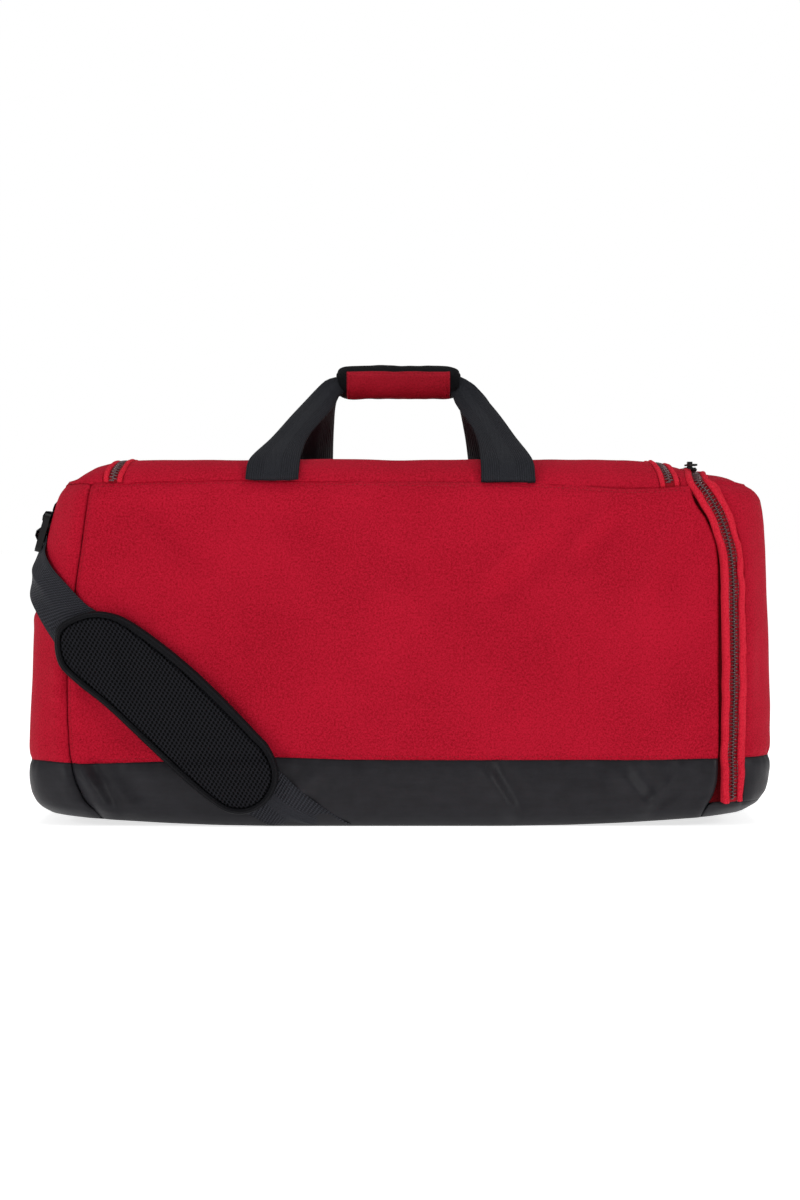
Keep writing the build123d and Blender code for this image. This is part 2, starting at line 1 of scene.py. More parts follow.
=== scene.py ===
import math
import bpy
import numpy as np
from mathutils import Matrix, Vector


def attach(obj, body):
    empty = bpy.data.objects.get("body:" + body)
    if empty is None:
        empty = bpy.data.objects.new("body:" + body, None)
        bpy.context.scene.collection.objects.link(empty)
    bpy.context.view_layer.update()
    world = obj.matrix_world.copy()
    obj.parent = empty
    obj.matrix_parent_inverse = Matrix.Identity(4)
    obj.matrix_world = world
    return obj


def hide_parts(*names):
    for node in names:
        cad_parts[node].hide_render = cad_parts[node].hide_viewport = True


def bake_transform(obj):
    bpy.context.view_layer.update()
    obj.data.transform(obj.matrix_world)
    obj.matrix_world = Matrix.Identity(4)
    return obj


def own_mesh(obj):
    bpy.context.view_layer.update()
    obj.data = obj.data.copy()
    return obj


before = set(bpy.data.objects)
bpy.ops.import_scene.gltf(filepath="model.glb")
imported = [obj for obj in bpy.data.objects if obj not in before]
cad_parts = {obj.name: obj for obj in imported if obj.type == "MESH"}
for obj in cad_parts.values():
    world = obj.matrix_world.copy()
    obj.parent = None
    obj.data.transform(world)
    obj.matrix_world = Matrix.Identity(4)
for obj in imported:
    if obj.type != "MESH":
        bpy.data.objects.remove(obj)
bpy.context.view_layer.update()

PI = math.pi

# =====================================================================
# helpers: smooth random fields, tables, meshes
# =====================================================================
def waves(p, wavelength, seed, n=16):
    """A smooth random field of about that wavelength, from -1 to 1."""
    rng = np.random.RandomState(seed)
    p = np.asarray(p, float)
    out = np.zeros(p.shape[:-1])
    for _ in range(n):
        d = rng.normal(size=p.shape[-1])
        d /= np.linalg.norm(d)
        k = 2 * PI / (wavelength * rng.uniform(0.75, 1.35))
        out += np.sin(p @ (d * k) + rng.uniform(0, 2 * PI))
    return out / math.sqrt(n) * 0.85


def smooth(t):
    t = np.clip(t, 0, 1)
    return t * t * (3 - 2 * t)


def table(pairs, blur=0.004):
    """A smoothed look-up table from (key, value) pairs."""
    keys = np.array([a for a, _ in pairs], float)
    vals = np.array([b for _, b in pairs], float)
    lo, hi = keys[0], keys[-1]
    grid = np.linspace(lo, hi, 900)
    raw = np.interp(grid, keys, vals)
    w = max(1, int(blur / ((hi - lo) / 899)))
    ext = np.concatenate([2 * raw[0] - raw[w:0:-1], raw, 2 * raw[-1] - raw[-2:-w - 2:-1]])
    ker = np.hanning(2 * w + 1)
    ker /= ker.sum()
    sm = np.convolve(ext, ker, "valid")
    return lambda x: np.interp(x, grid, sm)


def make_mesh(name, verts, faces, uv=None, smooth_shade=True):
    me = bpy.data.meshes.new(name)
    verts = np.asarray(verts, float).reshape(-1, 3)
    me.from_pydata([tuple(v) for v in verts], [], [tuple(int(i) for i in f) for f in faces])
    if uv is not None:
        layer = me.uv_layers.new(name="UVMap")
        idx = np.zeros(len(me.loops), np.int32)
        me.loops.foreach_get("vertex_index", idx)
        layer.data.foreach_set("uv", np.asarray(uv, np.float32)[idx].ravel())
    if smooth_shade:
        me.polygons.foreach_set("use_smooth", [True] * len(me.polygons))
    me.validate()
    me.update()
    ob = bpy.data.objects.new(name, me)
    bpy.context.scene.collection.objects.link(ob)
    return ob


def grid_faces(nu, nv, start=0, flip=False, close_u=False):
    """Quads of a grid with nu columns and nv rows, row by row."""
    f = []
    for j in range(nv - 1):
        for i in range(nu if close_u else nu - 1):
            a = start + j * nu + i
            b = start + j * nu + (i + 1) % nu
            q = (a, b, b + nu, a + nu)
            f.append(q[::-1] if flip else q)
    return f


def normals_of(P):
    """Normals of a grid of points (rows, columns, 3)."""
    du = np.gradient(P, axis=1)
    dv = np.gradient(P, axis=0)
    n = np.cross(du, dv)
    n /= np.maximum(np.linalg.norm(n, axis=-1, keepdims=True), 1e-12)
    return n


def skirted(P, UV, out, depth=0.007, over=0.0012):
    """A grid with its four edges turned in, so that it reads as a folded
    hem. out is +1 or -1, the side of the grid's normal that faces outwards."""
    N = normals_of(P) * out
    du = np.gradient(P, axis=1)
    du /= np.maximum(np.linalg.norm(du, axis=-1, keepdims=True), 1e-12)
    dv = np.gradient(P, axis=0)
    dv /= np.maximum(np.linalg.norm(dv, axis=-1, keepdims=True), 1e-12)
    A = np.concatenate([P[:, :1] - du[:, :1] * over - N[:, :1] * depth, P, P[:, -1:] + du[:, -1:] * over - N[:, -1:] * depth], 1)
    U = np.concatenate([UV[:, :1], UV, UV[:, -1:]], 1)
    top = P[-1:] + dv[-1:] * over - N[-1:] * depth
    bot = P[:1] - dv[:1] * over - N[:1] * depth
    top = np.concatenate([top[:, :1], top, top[:, -1:]], 1)
    bot = np.concatenate([bot[:, :1], bot, bot[:, -1:]], 1)
    A = np.concatenate([bot, A, top], 0)
    U = np.concatenate([U[:1], U, U[-1:]], 0)
    return A, U


def grid_object(name, P, UV, flip=False, skirt=0.0, out=1):
    if skirt:
        P, UV = skirted(P, UV, out, skirt)
    nv, nu = P.shape[:2]
    return make_mesh(name, P.reshape(-1, 3), grid_faces(nu, nv, flip=flip), UV.reshape(-1, 2))


def smooth_path(points, n, closed=False):
    """Even points along a Catmull-Rom curve through the given rows."""
    pts = np.asarray(points, float)
    m = len(pts)
    if closed:
        ext = np.concatenate([pts[-1:], pts, pts[:2]])
        segs = m
    else:
        ext = np.concatenate([2 * pts[:1] - pts[1:2], pts, 2 * pts[-1:] - pts[-2:-1]])
        segs = m - 1
    t = np.linspace(0, segs, segs * 24 + 1)
    i = np.minimum(t.astype(int), segs - 1)
    u = (t - i).reshape((-1,) + (1,) * (pts.ndim - 1))
    p0, p1, p2, p3 = ext[i], ext[i + 1], ext[i + 2], ext[i + 3]
    c = 0.5 * (2 * p1 + (p2 - p0) * u + (2 * p0 - 5 * p1 + 4 * p2 - p3) * u**2 + (3 * p1 - p0 - 3 * p2 + p3) * u**3)
    flat = c.reshape(len(c), -1)
    mid = c.mean(axis=1) if pts.ndim == 3 else c
    d = np.r_[0, np.cumsum(np.linalg.norm(np.diff(mid, axis=0), axis=-1))]
    want = np.linspace(0, d[-1], n + 1 if closed else n)
    if closed:
        want = want[:-1]
    out = np.stack([np.interp(want, d, flat[:, k]) for k in range(flat.shape[1])], 1)
    return out.reshape((len(want),) + pts.shape[1:])


# =====================================================================
# materials
# =====================================================================
class Nodes:
    def __init__(self, name):
        self.mat = bpy.data.materials.new(name)
        self.mat.use_nodes = True
        self.t = self.mat.node_tree
        self.b = self.t.nodes["Principled BSDF"]

    def new(self, kind, **props):
        n = self.t.nodes.new(kind)
        for k, v in props.items():
            setattr(n, k, v)
        return n

    def link(self, a, b):
        self.t.links.new(a, b)

    def put(self, sock, v):
        if isinstance(v, (int, float)):
            sock.default_value = v
        elif isinstance(v, (tuple, list)):
            sock.default_value = v
        else:
            self.link(v, sock)

    def math(self, op, a, b=0.0, c=None, clamp=False):
        n = self.new("ShaderNodeMath", operation=op, use_clamp=clamp)
        self.put(n.inputs[0], a)
        self.put(n.inputs[1], b)
        if c is not None:
            self.put(n.inputs[2], c)
        return n.outputs[0]

    def uv(self):
        if not hasattr(self, "_uv"):
            tc = self.new("ShaderNodeTexCoord")
            sep = self.new("ShaderNodeSeparateXYZ")
            self.link(tc.outputs["UV"], sep.inputs[0])
            self._uv = (sep.outputs[0], sep.outputs[1], tc.outputs["UV"], tc.outputs["Object"])
        return self._uv

    def scaled(self, vec, x, y, z=1.0):
        m = self.new("ShaderNodeMapping")
        self.link(vec, m.inputs["Vector"])
        m.inputs["Scale"].default_value = (x, y, z)
        return m.outputs[0]

    def noise(self, vec, scale, detail=3.0, rough=0.55):
        n = self.new("ShaderNodeTexNoise")
        self.link(vec, n.inputs["Vector"])
        n.inputs["Scale"].default_value = scale
        n.inputs["Detail"].default_value = detail
        n.inputs["Roughness"].default_value = rough
        return n.outputs["Fac"]

    def ramp(self, fac, stops):
        r = self.new("ShaderNodeValToRGB")
        while len(r.color_ramp.elements) < len(stops):
            r.color_ramp.elements.new(0.5)
        for e, (pos, col) in zip(r.color_ramp.elements, stops):
            e.position = pos
            e.color = (*col, 1.0)
        self.put(r.inputs[0], fac)
        return r.outputs["Color"]

    def mix(self, fac, a, b, mode="MIX"):
        m = self.new("ShaderNodeMix", data_type="RGBA", blend_type=mode)
        self.put(m.inputs[0], fac)
        for s, v in ((m.inputs[6], a), (m.inputs[7], b)):
            if isinstance(v, tuple):
                s.default_value = (*v, 1.0)
            else:
                self.link(v, s)
        return m.outputs[2]

    def bump(self, height, strength, dist, prev=None):
        n = self.new("ShaderNodeBump")
        self.put(n.inputs["Height"], height)
        n.inputs["Strength"].default_value = strength
        n.inputs["Distance"].default_value = dist
        if prev is not None:
            self.link(prev, n.inputs["Normal"])
        return n.outputs[0]

    def sin(self, x, pitch, phase=0.0):
        return self.math("SINE", self.math("MULTIPLY_ADD", x, 2 * PI / pitch, phase))

    def set(self, **kw):
        for k, v in kw.items():
            s = self.b.inputs[k.replace("_", " ")]
            if isinstance(v, tuple) and len(v) == 3 and s.type == "RGBA":
                v = (*v, 1.0)
            self.put(s, v)
        return self


def canvas(name, dark, mid, light, pitch=0.00062, inner=(0.035, 0.034, 0.036), sheen=(1.0, 0.18, 0.22), spec=0.07, fuzz=0.05):
    """Plain-weave polyester canvas with a coated dark inside."""
    n = Nodes(name)
    u, v, uv, obj = n.uv()
    a = n.sin(u, pitch * 2)
    b = n.sin(v, pitch * 2)
    # over-under of a plain weave
    weave = n.math("MULTIPLY", a, b)
    yarn = n.math("ADD", n.math("ABSOLUTE", n.sin(u, pitch * 2, 0.6)), n.math("ABSOLUTE", n.sin(v, pitch * 2, 0.6)))
    slub_u = n.noise(n.scaled(uv, 420.0, 2300.0), 1.0, 3.0, 0.75)
    slub_v = n.noise(n.scaled(uv, 2300.0, 420.0), 1.0, 3.0, 0.75)
    slub = n.math("ADD", slub_u, slub_v)
    grain = n.noise(uv, 1250.0, 3.0, 0.8)
    cloud = n.noise(uv, 9.0, 3.0, 0.6)
    tone = n.math("MULTIPLY_ADD", slub, 0.62, n.math("MULTIPLY_ADD", cloud, 0.22, n.math("MULTIPLY", grain, 0.42)))
    tone = n.math("MULTIPLY_ADD", weave, 0.05, tone)
    mottle = n.noise(uv, 520.0, 2.0, 0.7)
    tone = n.math("MULTIPLY_ADD", mottle, 0.60, n.math("SUBTRACT", tone, 0.30))
    col = n.ramp(tone, [(0.50, dark), (0.83, mid), (1.0, light)])
    back = n.new("ShaderNodeNewGeometry").outputs["Backfacing"]
    col = n.mix(back, col, inner)
    n.set(Base_Color=col, Sheen_Weight=fuzz, Sheen_Roughness=0.5, Sheen_Tint=sheen)
    n.set(Roughness=n.math("MULTIPLY_ADD", grain, 0.18, 0.62), Specular_IOR_Level=spec)
    h = n.math("ADD", n.math("MULTIPLY", weave, 0.35), n.math("ADD", n.math("MULTIPLY", yarn, 0.35), n.math("MULTIPLY", slub, 0.9)))
    nb = n.bump(n.math("MULTIPLY_ADD", mottle, 0.9, h), 0.62, 0.00045)
    nb = n.bump(n.noise(obj, 130.0, 2.0, 0.5), 0.10, 0.0015, nb)
    n.set(Normal=nb)
    return n.mat


def coated(name):
    n = Nodes(name)
    u, v, uv, obj = n.uv()
    fine = n.noise(uv, 1400.0, 2.0, 0.6)
    mid = n.noise(uv, 60.0, 4.0, 0.6)
    scuff = n.noise(n.scaled(uv, 30.0, 220.0), 1.0, 4.0, 0.7)
    col = n.ramp(n.math("MULTIPLY_ADD", mid, 0.6, n.math("MULTIPLY", scuff, 0.4)), [(0.35, (0.0112, 0.0108, 0.0128)), (0.62, (0.0160, 0.0156, 0.0186)), (0.9, (0.0250, 0.0248, 0.0290))])
    back = n.new("ShaderNodeNewGeometry").outputs["Backfacing"]
    col = n.mix(back, col, (0.05, 0.05, 0.052))
    n.set(Base_Color=col, Specular_IOR_Level=0.13, Sheen_Weight=0.0, Sheen_Roughness=0.5)
    n.set(Roughness=n.math("MULTIPLY_ADD", mid, 0.16, 0.38))
    ribs = n.math("MULTIPLY", n.sin(u, 0.0011), n.sin(v, 0.0011))
    nb = n.bump(n.math("MULTIPLY_ADD", ribs, 0.25, fine), 0.22, 0.0003)
    nb = n.bump(n.noise(obj, 60.0, 3.0, 0.5), 0.12, 0.003, nb)
    n.set(Normal=nb)
    return n.mat


def webbing(name, width=0.050, base=(0.0128, 0.0136, 0.0172), rib_area=0.36, spec=0.09, cross_rib=0.0):
    """Ribbed webbing: u runs across the width, v along the length, in metres."""
    n = Nodes(name)
    u, v, uv, obj = n.uv()
    # ribs along the length, bold near both edges
    ribs = n.sin(u, 0.0021)
    edge = n.math("ABSOLUTE", n.math("SUBTRACT", u, width / 2))
    bold = n.math("GREATER_THAN", edge, width * (0.5 - rib_area))
    bold = n.math("MULTIPLY_ADD", bold, 0.8, 0.2)
    cross = n.math("MULTIPLY", n.sin(v, 0.0016), n.sin(u, 0.0021, 1.57))
    tw = n.sin(n.math("ADD", u, v), 0.0015)
    grain = n.noise(uv, 900.0, 2.0, 0.6)
    h = n.math("ADD", n.math("MULTIPLY", ribs, bold), n.math("MULTIPLY_ADD", cross, 0.35, n.math("MULTIPLY", tw, 0.2)))
    hi = tuple(c * 1.75 for c in base)
    lo = tuple(c * 0.62 for c in base)
    if cross_rib:
        bars = n.math("MULTIPLY", n.sin(v, 0.0031), n.math("GREATER_THAN", n.noise(n.scaled(uv, 26.0, 9.0), 1.0, 1.0, 0.4), 0.47))
        h = n.math("MULTIPLY_ADD", bars, cross_rib, h)
    tone = n.math("MULTIPLY_ADD", h, 0.17, n.math("MULTIPLY", grain, 1.0))
    col = n.ramp(tone, [(0.28, lo), (0.5, base), (0.85, hi)])
    n.set(Base_Color=col, Sheen_Weight=0.0, Sheen_Roughness=0.4, Specular_IOR_Level=spec)
    n.set(Roughness=n.math("MULTIPLY_ADD", grain, 0.2, 0.46))
    nb = n.bump(h, 0.6, 0.00055)
    nb = n.bump(grain, 0.3, 0.0002, nb)
    n.set(Normal=nb)
    return n.mat


def plastic(name, base, rough=0.42, coat=0.0, scale=900.0, strength=0.12, metal=0.0):
    n = Nodes(name)
    tc = n.new("ShaderNodeTexCoord").outputs["Object"]
    g = n.noise(tc, scale, 3.0, 0.6)
    wear = n.noise(tc, 90.0, 4.0, 0.7)
    col = n.ramp(wear, [(0.35, tuple(c * 0.8 for c in base)), (0.65, base), (0.9, tuple(min(1, c * 1.5 + 0.004) for c in base))])
    n.set(Base_Color=col, Metallic=metal, Coat_Weight=coat, Coat_Roughness=0.25, Specular_IOR_Level=0.22)
    n.set(Roughness=n.math("MULTIPLY_ADD", wear, 0.25, rough - 0.12))
    n.set(Normal=n.bump(g, strength, 0.0003))
    return n.mat


def air_mesh(name):
    """Spacer mesh: staggered round holes between knitted ribs, in metres."""
    n = Nodes(name)
    u, v, uv, obj = n.uv()
    wob = n.math("MULTIPLY_ADD", n.noise(uv, 45.0, 2.0, 0.5), 0.0016, -0.0008)
    uu = n.math("ADD", u, wob)
    vv = n.math("ADD", v, wob)
    px, pz = 0.0041, 0.0055
    uu = n.math("MULTIPLY_ADD", vv, 0.22, uu)
    lat = n.math("MULTIPLY", n.math("COSINE", n.math("MULTIPLY", uu, 2 * PI / px)), n.math("COSINE", n.math("MULTIPLY", vv, 2 * PI / pz)))
    hole = n.math("MULTIPLY", n.math("SUBTRACT", lat, 0.02), 3.4, clamp=True)
    fine = n.noise(uv, 1500.0, 2.0, 0.6)
    knit = n.sin(v, 0.0009)
    yarn = n.ramp(n.math("MULTIPLY_ADD", knit, 0.12, fine), [(0.3, (0.0066, 0.0066, 0.0084)), (0.7, (0.0150, 0.0150, 0.0185))])
    # the holes are a real pattern; their near-black colour is painted shade in the depth of each hole
    col = n.mix(hole, yarn, (0.0004, 0.0004, 0.0005))
    n.set(Base_Color=col, Specular_IOR_Level=0.05, Sheen_Weight=0.0, Sheen_Roughness=0.4)
    n.set(Roughness=n.math("MULTIPLY_ADD", fine, 0.2, 0.55))
    h = n.math("MULTIPLY_ADD", knit, 0.08, n.math("SUBTRACT", 1.0, hole))
    n.set(Normal=n.bump(h, 0.9, 0.0012))
    return n.mat


def tape(name, base=(0.40, 0.008, 0.020), pitch=0.0012):
    n = Nodes(name)
    u, v, uv, obj = n.uv()
    rib = n.sin(v, pitch)
    her = n.sin(n.math("ADD", v, n.math("ABSOLUTE", u)), pitch * 1.3)
    g = n.noise(uv, 900.0, 2.0, 0.6)
    col = n.ramp(n.math("MULTIPLY_ADD", rib, 0.08, g), [(0.3, tuple(c * 0.6 for c in base)), (0.55, base), (0.85, tuple(min(1, c * 1.35) for c in base))])
    n.set(Base_Color=col, Sheen_Weight=0.05, Sheen_Roughness=0.4, Specular_IOR_Level=0.14)
    n.set(Roughness=n.math("MULTIPLY_ADD", g, 0.2, 0.52))
    n.set(Normal=n.bump(n.math("ADD", rib, n.math("MULTIPLY", her, 0.4)), 0.4, 0.0003))
    return n.mat


M = {
    "red": canvas("red_canvas", (0.132, 0.0003, 0.0036), (0.258, 0.0007, 0.0086), (0.44, 0.006, 0.025), fuzz=0.030),
    "band": coated("coated_band"),
    "web": webbing("webbing"),
    "grip": canvas("grip_padding", (0.0016, 0.0016, 0.0020), (0.0032, 0.0032, 0.0038), (0.007, 0.007, 0.008), pitch=0.0005, inner=(0.004, 0.004, 0.004), sheen=(1.0, 1.0, 1.0), spec=0.05, fuzz=0.0),
    "mesh": air_mesh("pad_mesh"),
    "bind": webbing("pad_binding", width=0.014, base=(0.0058, 0.0058, 0.0070), rib_area=0.5, spec=0.06),
    "strap": webbing("strap_webbing", base=(0.0190, 0.0195, 0.0240), cross_rib=1.6),
    # red canvas darkened to about 0.78: painted shade on the grip roll's red face
    "red_grip_painted_shade": canvas("red_grip_painted_shade_canvas", (0.105, 0.0003, 0.0026), (0.200, 0.0007, 0.0062), (0.34, 0.005, 0.018), spec=0.10),
    "tape": tape("zip_tape", base=(0.30, 0.0015, 0.010)),
    "welt": canvas("welt_canvas", (0.24, 0.0012, 0.0065), (0.42, 0.0030, 0.0150), (0.60, 0.018, 0.040)),
    "teeth": plastic("zip_teeth", (0.090, 0.034, 0.038), 0.24, 0.6, 1500.0, 0.1, 0.2),
    "slider": plastic("slider_enamel", (0.0045, 0.0045, 0.005), 0.30, 0.3, 700.0, 0.05),
    "pull": plastic("pull_tab", (0.005, 0.005, 0.0055), 0.50, 0.0),
    "buckle": plastic("buckle_plastic", (0.005, 0.005, 0.0056), 0.46, 0.0, 1200.0, 0.2),
    # very dark red sheet for the end zip's recess: painted shade, not a cloth colour
    "recess_painted_shade": canvas("recess_painted_shade_cloth", (0.020, 0.0004, 0.001), (0.045, 0.0006, 0.002), (0.08, 0.002, 0.004), spec=0.03, fuzz=0.0),
    "lining": canvas("lining_cloth", (0.02, 0.02, 0.022), (0.035, 0.035, 0.038), (0.055, 0.055, 0.058), inner=(0.03, 0.03, 0.032)),
    "thread_red": tape("thread_red", base=(0.30, 0.004, 0.014), pitch=0.0009),
    "thread_grey": tape("thread_grey", base=(0.30, 0.17, 0.18), pitch=0.0009),
    "thread_black": tape("thread_black", base=(0.006, 0.006, 0.007), pitch=0.0009),
}


def dress(ob, mat, body, replaced=()):
    ob.data.materials.clear()
    ob.data.materials.append(M[mat])
    if body:
        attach(ob, body)
    if replaced:
        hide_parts(*replaced)
    return ob


# =====================================================================
# the soft body as smooth surfaces
# =====================================================================
DY = -0.00606
Z_SEAM, Z_BAND, R = 0.322, 0.063, 0.050
XL = table([(0, .3320), (.006, .3400), (.014, .3455), (.024, .3485), (.040, .3500), (.062, .3512), (.085, .3515), (.141, .3490), (.204, .3470), (.240, .3400), (.262, .3365), (.2895, .3300), (.303, .3258), (.313, .3212), (.3222, .3145), (.335, .303)], .005)
XR = table([(0, .3270), (.010, .3400), (.025, .3470), (.055, .3512), (.112, .3520), (.175, .3505), (.232, .3490), (.262, .3478), (.285, .3465), (.297, .3448), (.308, .3412), (.3165, .3355), (.323, .3275), (.335, .315)], .005)
HY = table([(0, .1440), (.004, .1495), (.010, .1545), (.018, .156), (.306, .156), (.314, .1555), (.322, .1538), (.335, .149)], .004)
SEAM_L = table([(0, .280), (.0085, .2843), (.0198, .2950), (.040, .3030), (.060, .3082), (.072, .3097), (.100, .3117), (.141, .3117), (.225, .305), (.267, .2985), (.295, .2947), (.322, .290), (.33, .289)], .010)
ZIP_X = table([(0, .3125), (.225, .3130), (.251, .3118), (.270, .3084), (.288, .3025), (.303, .2950), (.317, .2868), (.325, .2820), (.335, .2790)], .010)
EDGE_X = table([(0, .284), (.008, .2860), (.0264, .2950), (.042, .2985), (.065, .2995), (.22, .2996), (.243, .2993), (.262, .2978), (.275, .2945), (.292, .2862), (.304, .2770), (.313, .2737), (.324, .2735), (.335, .2730)], .008)
SEAM_Z = table([(-.36, .3230), (-.29, .3235), (-.261, .3228), (-.24, .3255), (-.145, .3262), (-.047, .3247), (.142, .3225), (.208, .3172), (.243, .3176), (.283, .3215), (.36, .322)], .02)
LIFT = table([(-.36, .0112), (-.33, .0104), (-.30, .0082), (-.26, .0052), (-.22, .0028), (-.17, .0008), (-.12, 0), (.10, 0), (.16, .0010), (.21, .0030), (.257, .0060), (.287, .0085), (.310, .0108), (.36, .0145)], .02)
BAND_Z = table([(-.36, .0600), (-.345, .0620), (-.29, .0592), (-.22, .0617), (-.12, .0658), (-.05, .0632), (.0, .0630), (.22, .0628), (.30, .0645), (.345, .0655), (.36, .066)], .02)


def s_of_x(ax, z, left):
    """Perimeter distance from the near middle to the point at |x| = ax."""
    X = XL(z) if left else XR(z)
    flat = X - R
    phi = np.arcsin(np.clip((ax - flat) / R, 0, 1))
    return np.where(ax <= flat, ax, flat + R * phi)


def lengths(z, left):
    X = XL(z) if left else XR(z)
    hy = HY(z)
    L1 = X - R
    L2 = L1 + R * PI / 2
    L3 = L2 + 2 * (hy - R)
    L4 = L3 + R * PI / 2
    return X, hy, L1, L2, L3, L4


def total(z, left):
    X, hy, L1, L2, L3, L4 = lengths(z, left)
    return L4 + L1


def outline(s, z):
    """Base point and flat normal at perimeter distance s (left is +)."""
    s, z = np.broadcast_arrays(np.asarray(s, float), np.asarray(z, float))
    left = s >= 0
    S = np.abs(s)
    X = np.where(left, XL(z), XR(z))
    hy = HY(z)
    L1 = X - R
    L2 = L1 + R * PI / 2
    L3 = L2 + 2 * (hy - R)
    L4 = L3 + R * PI / 2
    p1 = (S - L1) / R
    p2 = (S - L3) / R
    conds = [S < L1, S < L2, S < L3, S < L4]
    ax = np.select(conds, [S, L1 + R * np.sin(p1), X, L1 + R * np.cos(p2)], X - R - (S - L4))
    y = np.select(conds, [-hy, -hy + R - R * np.cos(p1), -hy + R + (S - L2), hy - R + R * np.sin(p2)], hy)
    nx = np.select(conds, [0 * S, np.sin(p1), 0 * S + 1, np.cos(p2)], 0 * S)
    ny = np.select(conds, [0 * S - 1, -np.cos(p1), 0 * S, np.sin(p2)], 0 * S + 1)
    sgn = np.where(left, -1.0, 1.0)
    return np.stack([sgn * ax, y, z], -1), np.stack([sgn * nx, ny, 0 * nx], -1)


def crease(x, z, a, b, depth, width):
    """A soft fold along the segment a to b on a face, raised on one side."""
    a, b = np.array(a), np.array(b)
    d = b - a
    L = np.linalg.norm(d)
    d = d / L
    rx, rz = x - a[0], z - a[1]
    t = (rx * d[0] + rz * d[1]) / L
    n = (-rx * d[1] + rz * d[0]) / width
    env = smooth(t / 0.3) * smooth((1 - t) / 0.3)
    return depth * env * (np.exp(-(n**2)) - 0.7 * np.exp(-((n - 1.7) ** 2)))


NEAR_FOLDS = [
    # (from, to, depth, width) in metres on the near face
    ((0.150, 0.300), (0.060, 0.215), 0.0028, 0.013),
    ((0.205, 0.312), (0.150, 0.250), 0.0022, 0.010),
    ((0.262, 0.305), (0.225, 0.210), 0.0026, 0.012),
    ((-0.262, 0.300), (-0.180, 0.215), 0.0024, 0.014),
    ((-0.050, 0.250), (0.075, 0.165), 0.0018, 0.022),
    ((-0.130, 0.290), (-0.060, 0.200), 0.0016, 0.018),
    ((-0.285, 0.230), (-0.262, 0.100), 0.0018, 0.010),
    ((0.285, 0.180), (0.268, 0.075), 0.0016, 0.010),
    ((0.075, 0.062), (0.110, 0.004), 0.0030, 0.008),
    ((-0.303, 0.064), (-0.268, 0.000), 0.0038, 0.0075),
    ((-0.292, 0.052), (-0.240, 0.004), 0.0016, 0.010),
    ((0.200, 0.062), (0.240, 0.004), 0.0022, 0.009),
    ((0.262, 0.050), (0.225, 0.012), 0.0016, 0.006),
    ((-0.075, 0.055), (-0.105, 0.020), 0.0015, 0.008),
]
FAR_FOLDS = [
    ((-0.16, 0.300), (-0.06, 0.21), 0.0026, 0.013), ((0.24, 0.30), (0.19, 0.20), 0.0024, 0.012),
    ((0.02, 0.26), (0.09, 0.15), 0.0018, 0.02), ((-0.27, 0.25), (-0.2, 0.12), 0.002, 0.012),
    ((0.02, 0.058), (0.045, 0.01), 0.0026, 0.006), ((-0.2, 0.058), (-0.175, 0.012), 0.0024, 0.006),
]


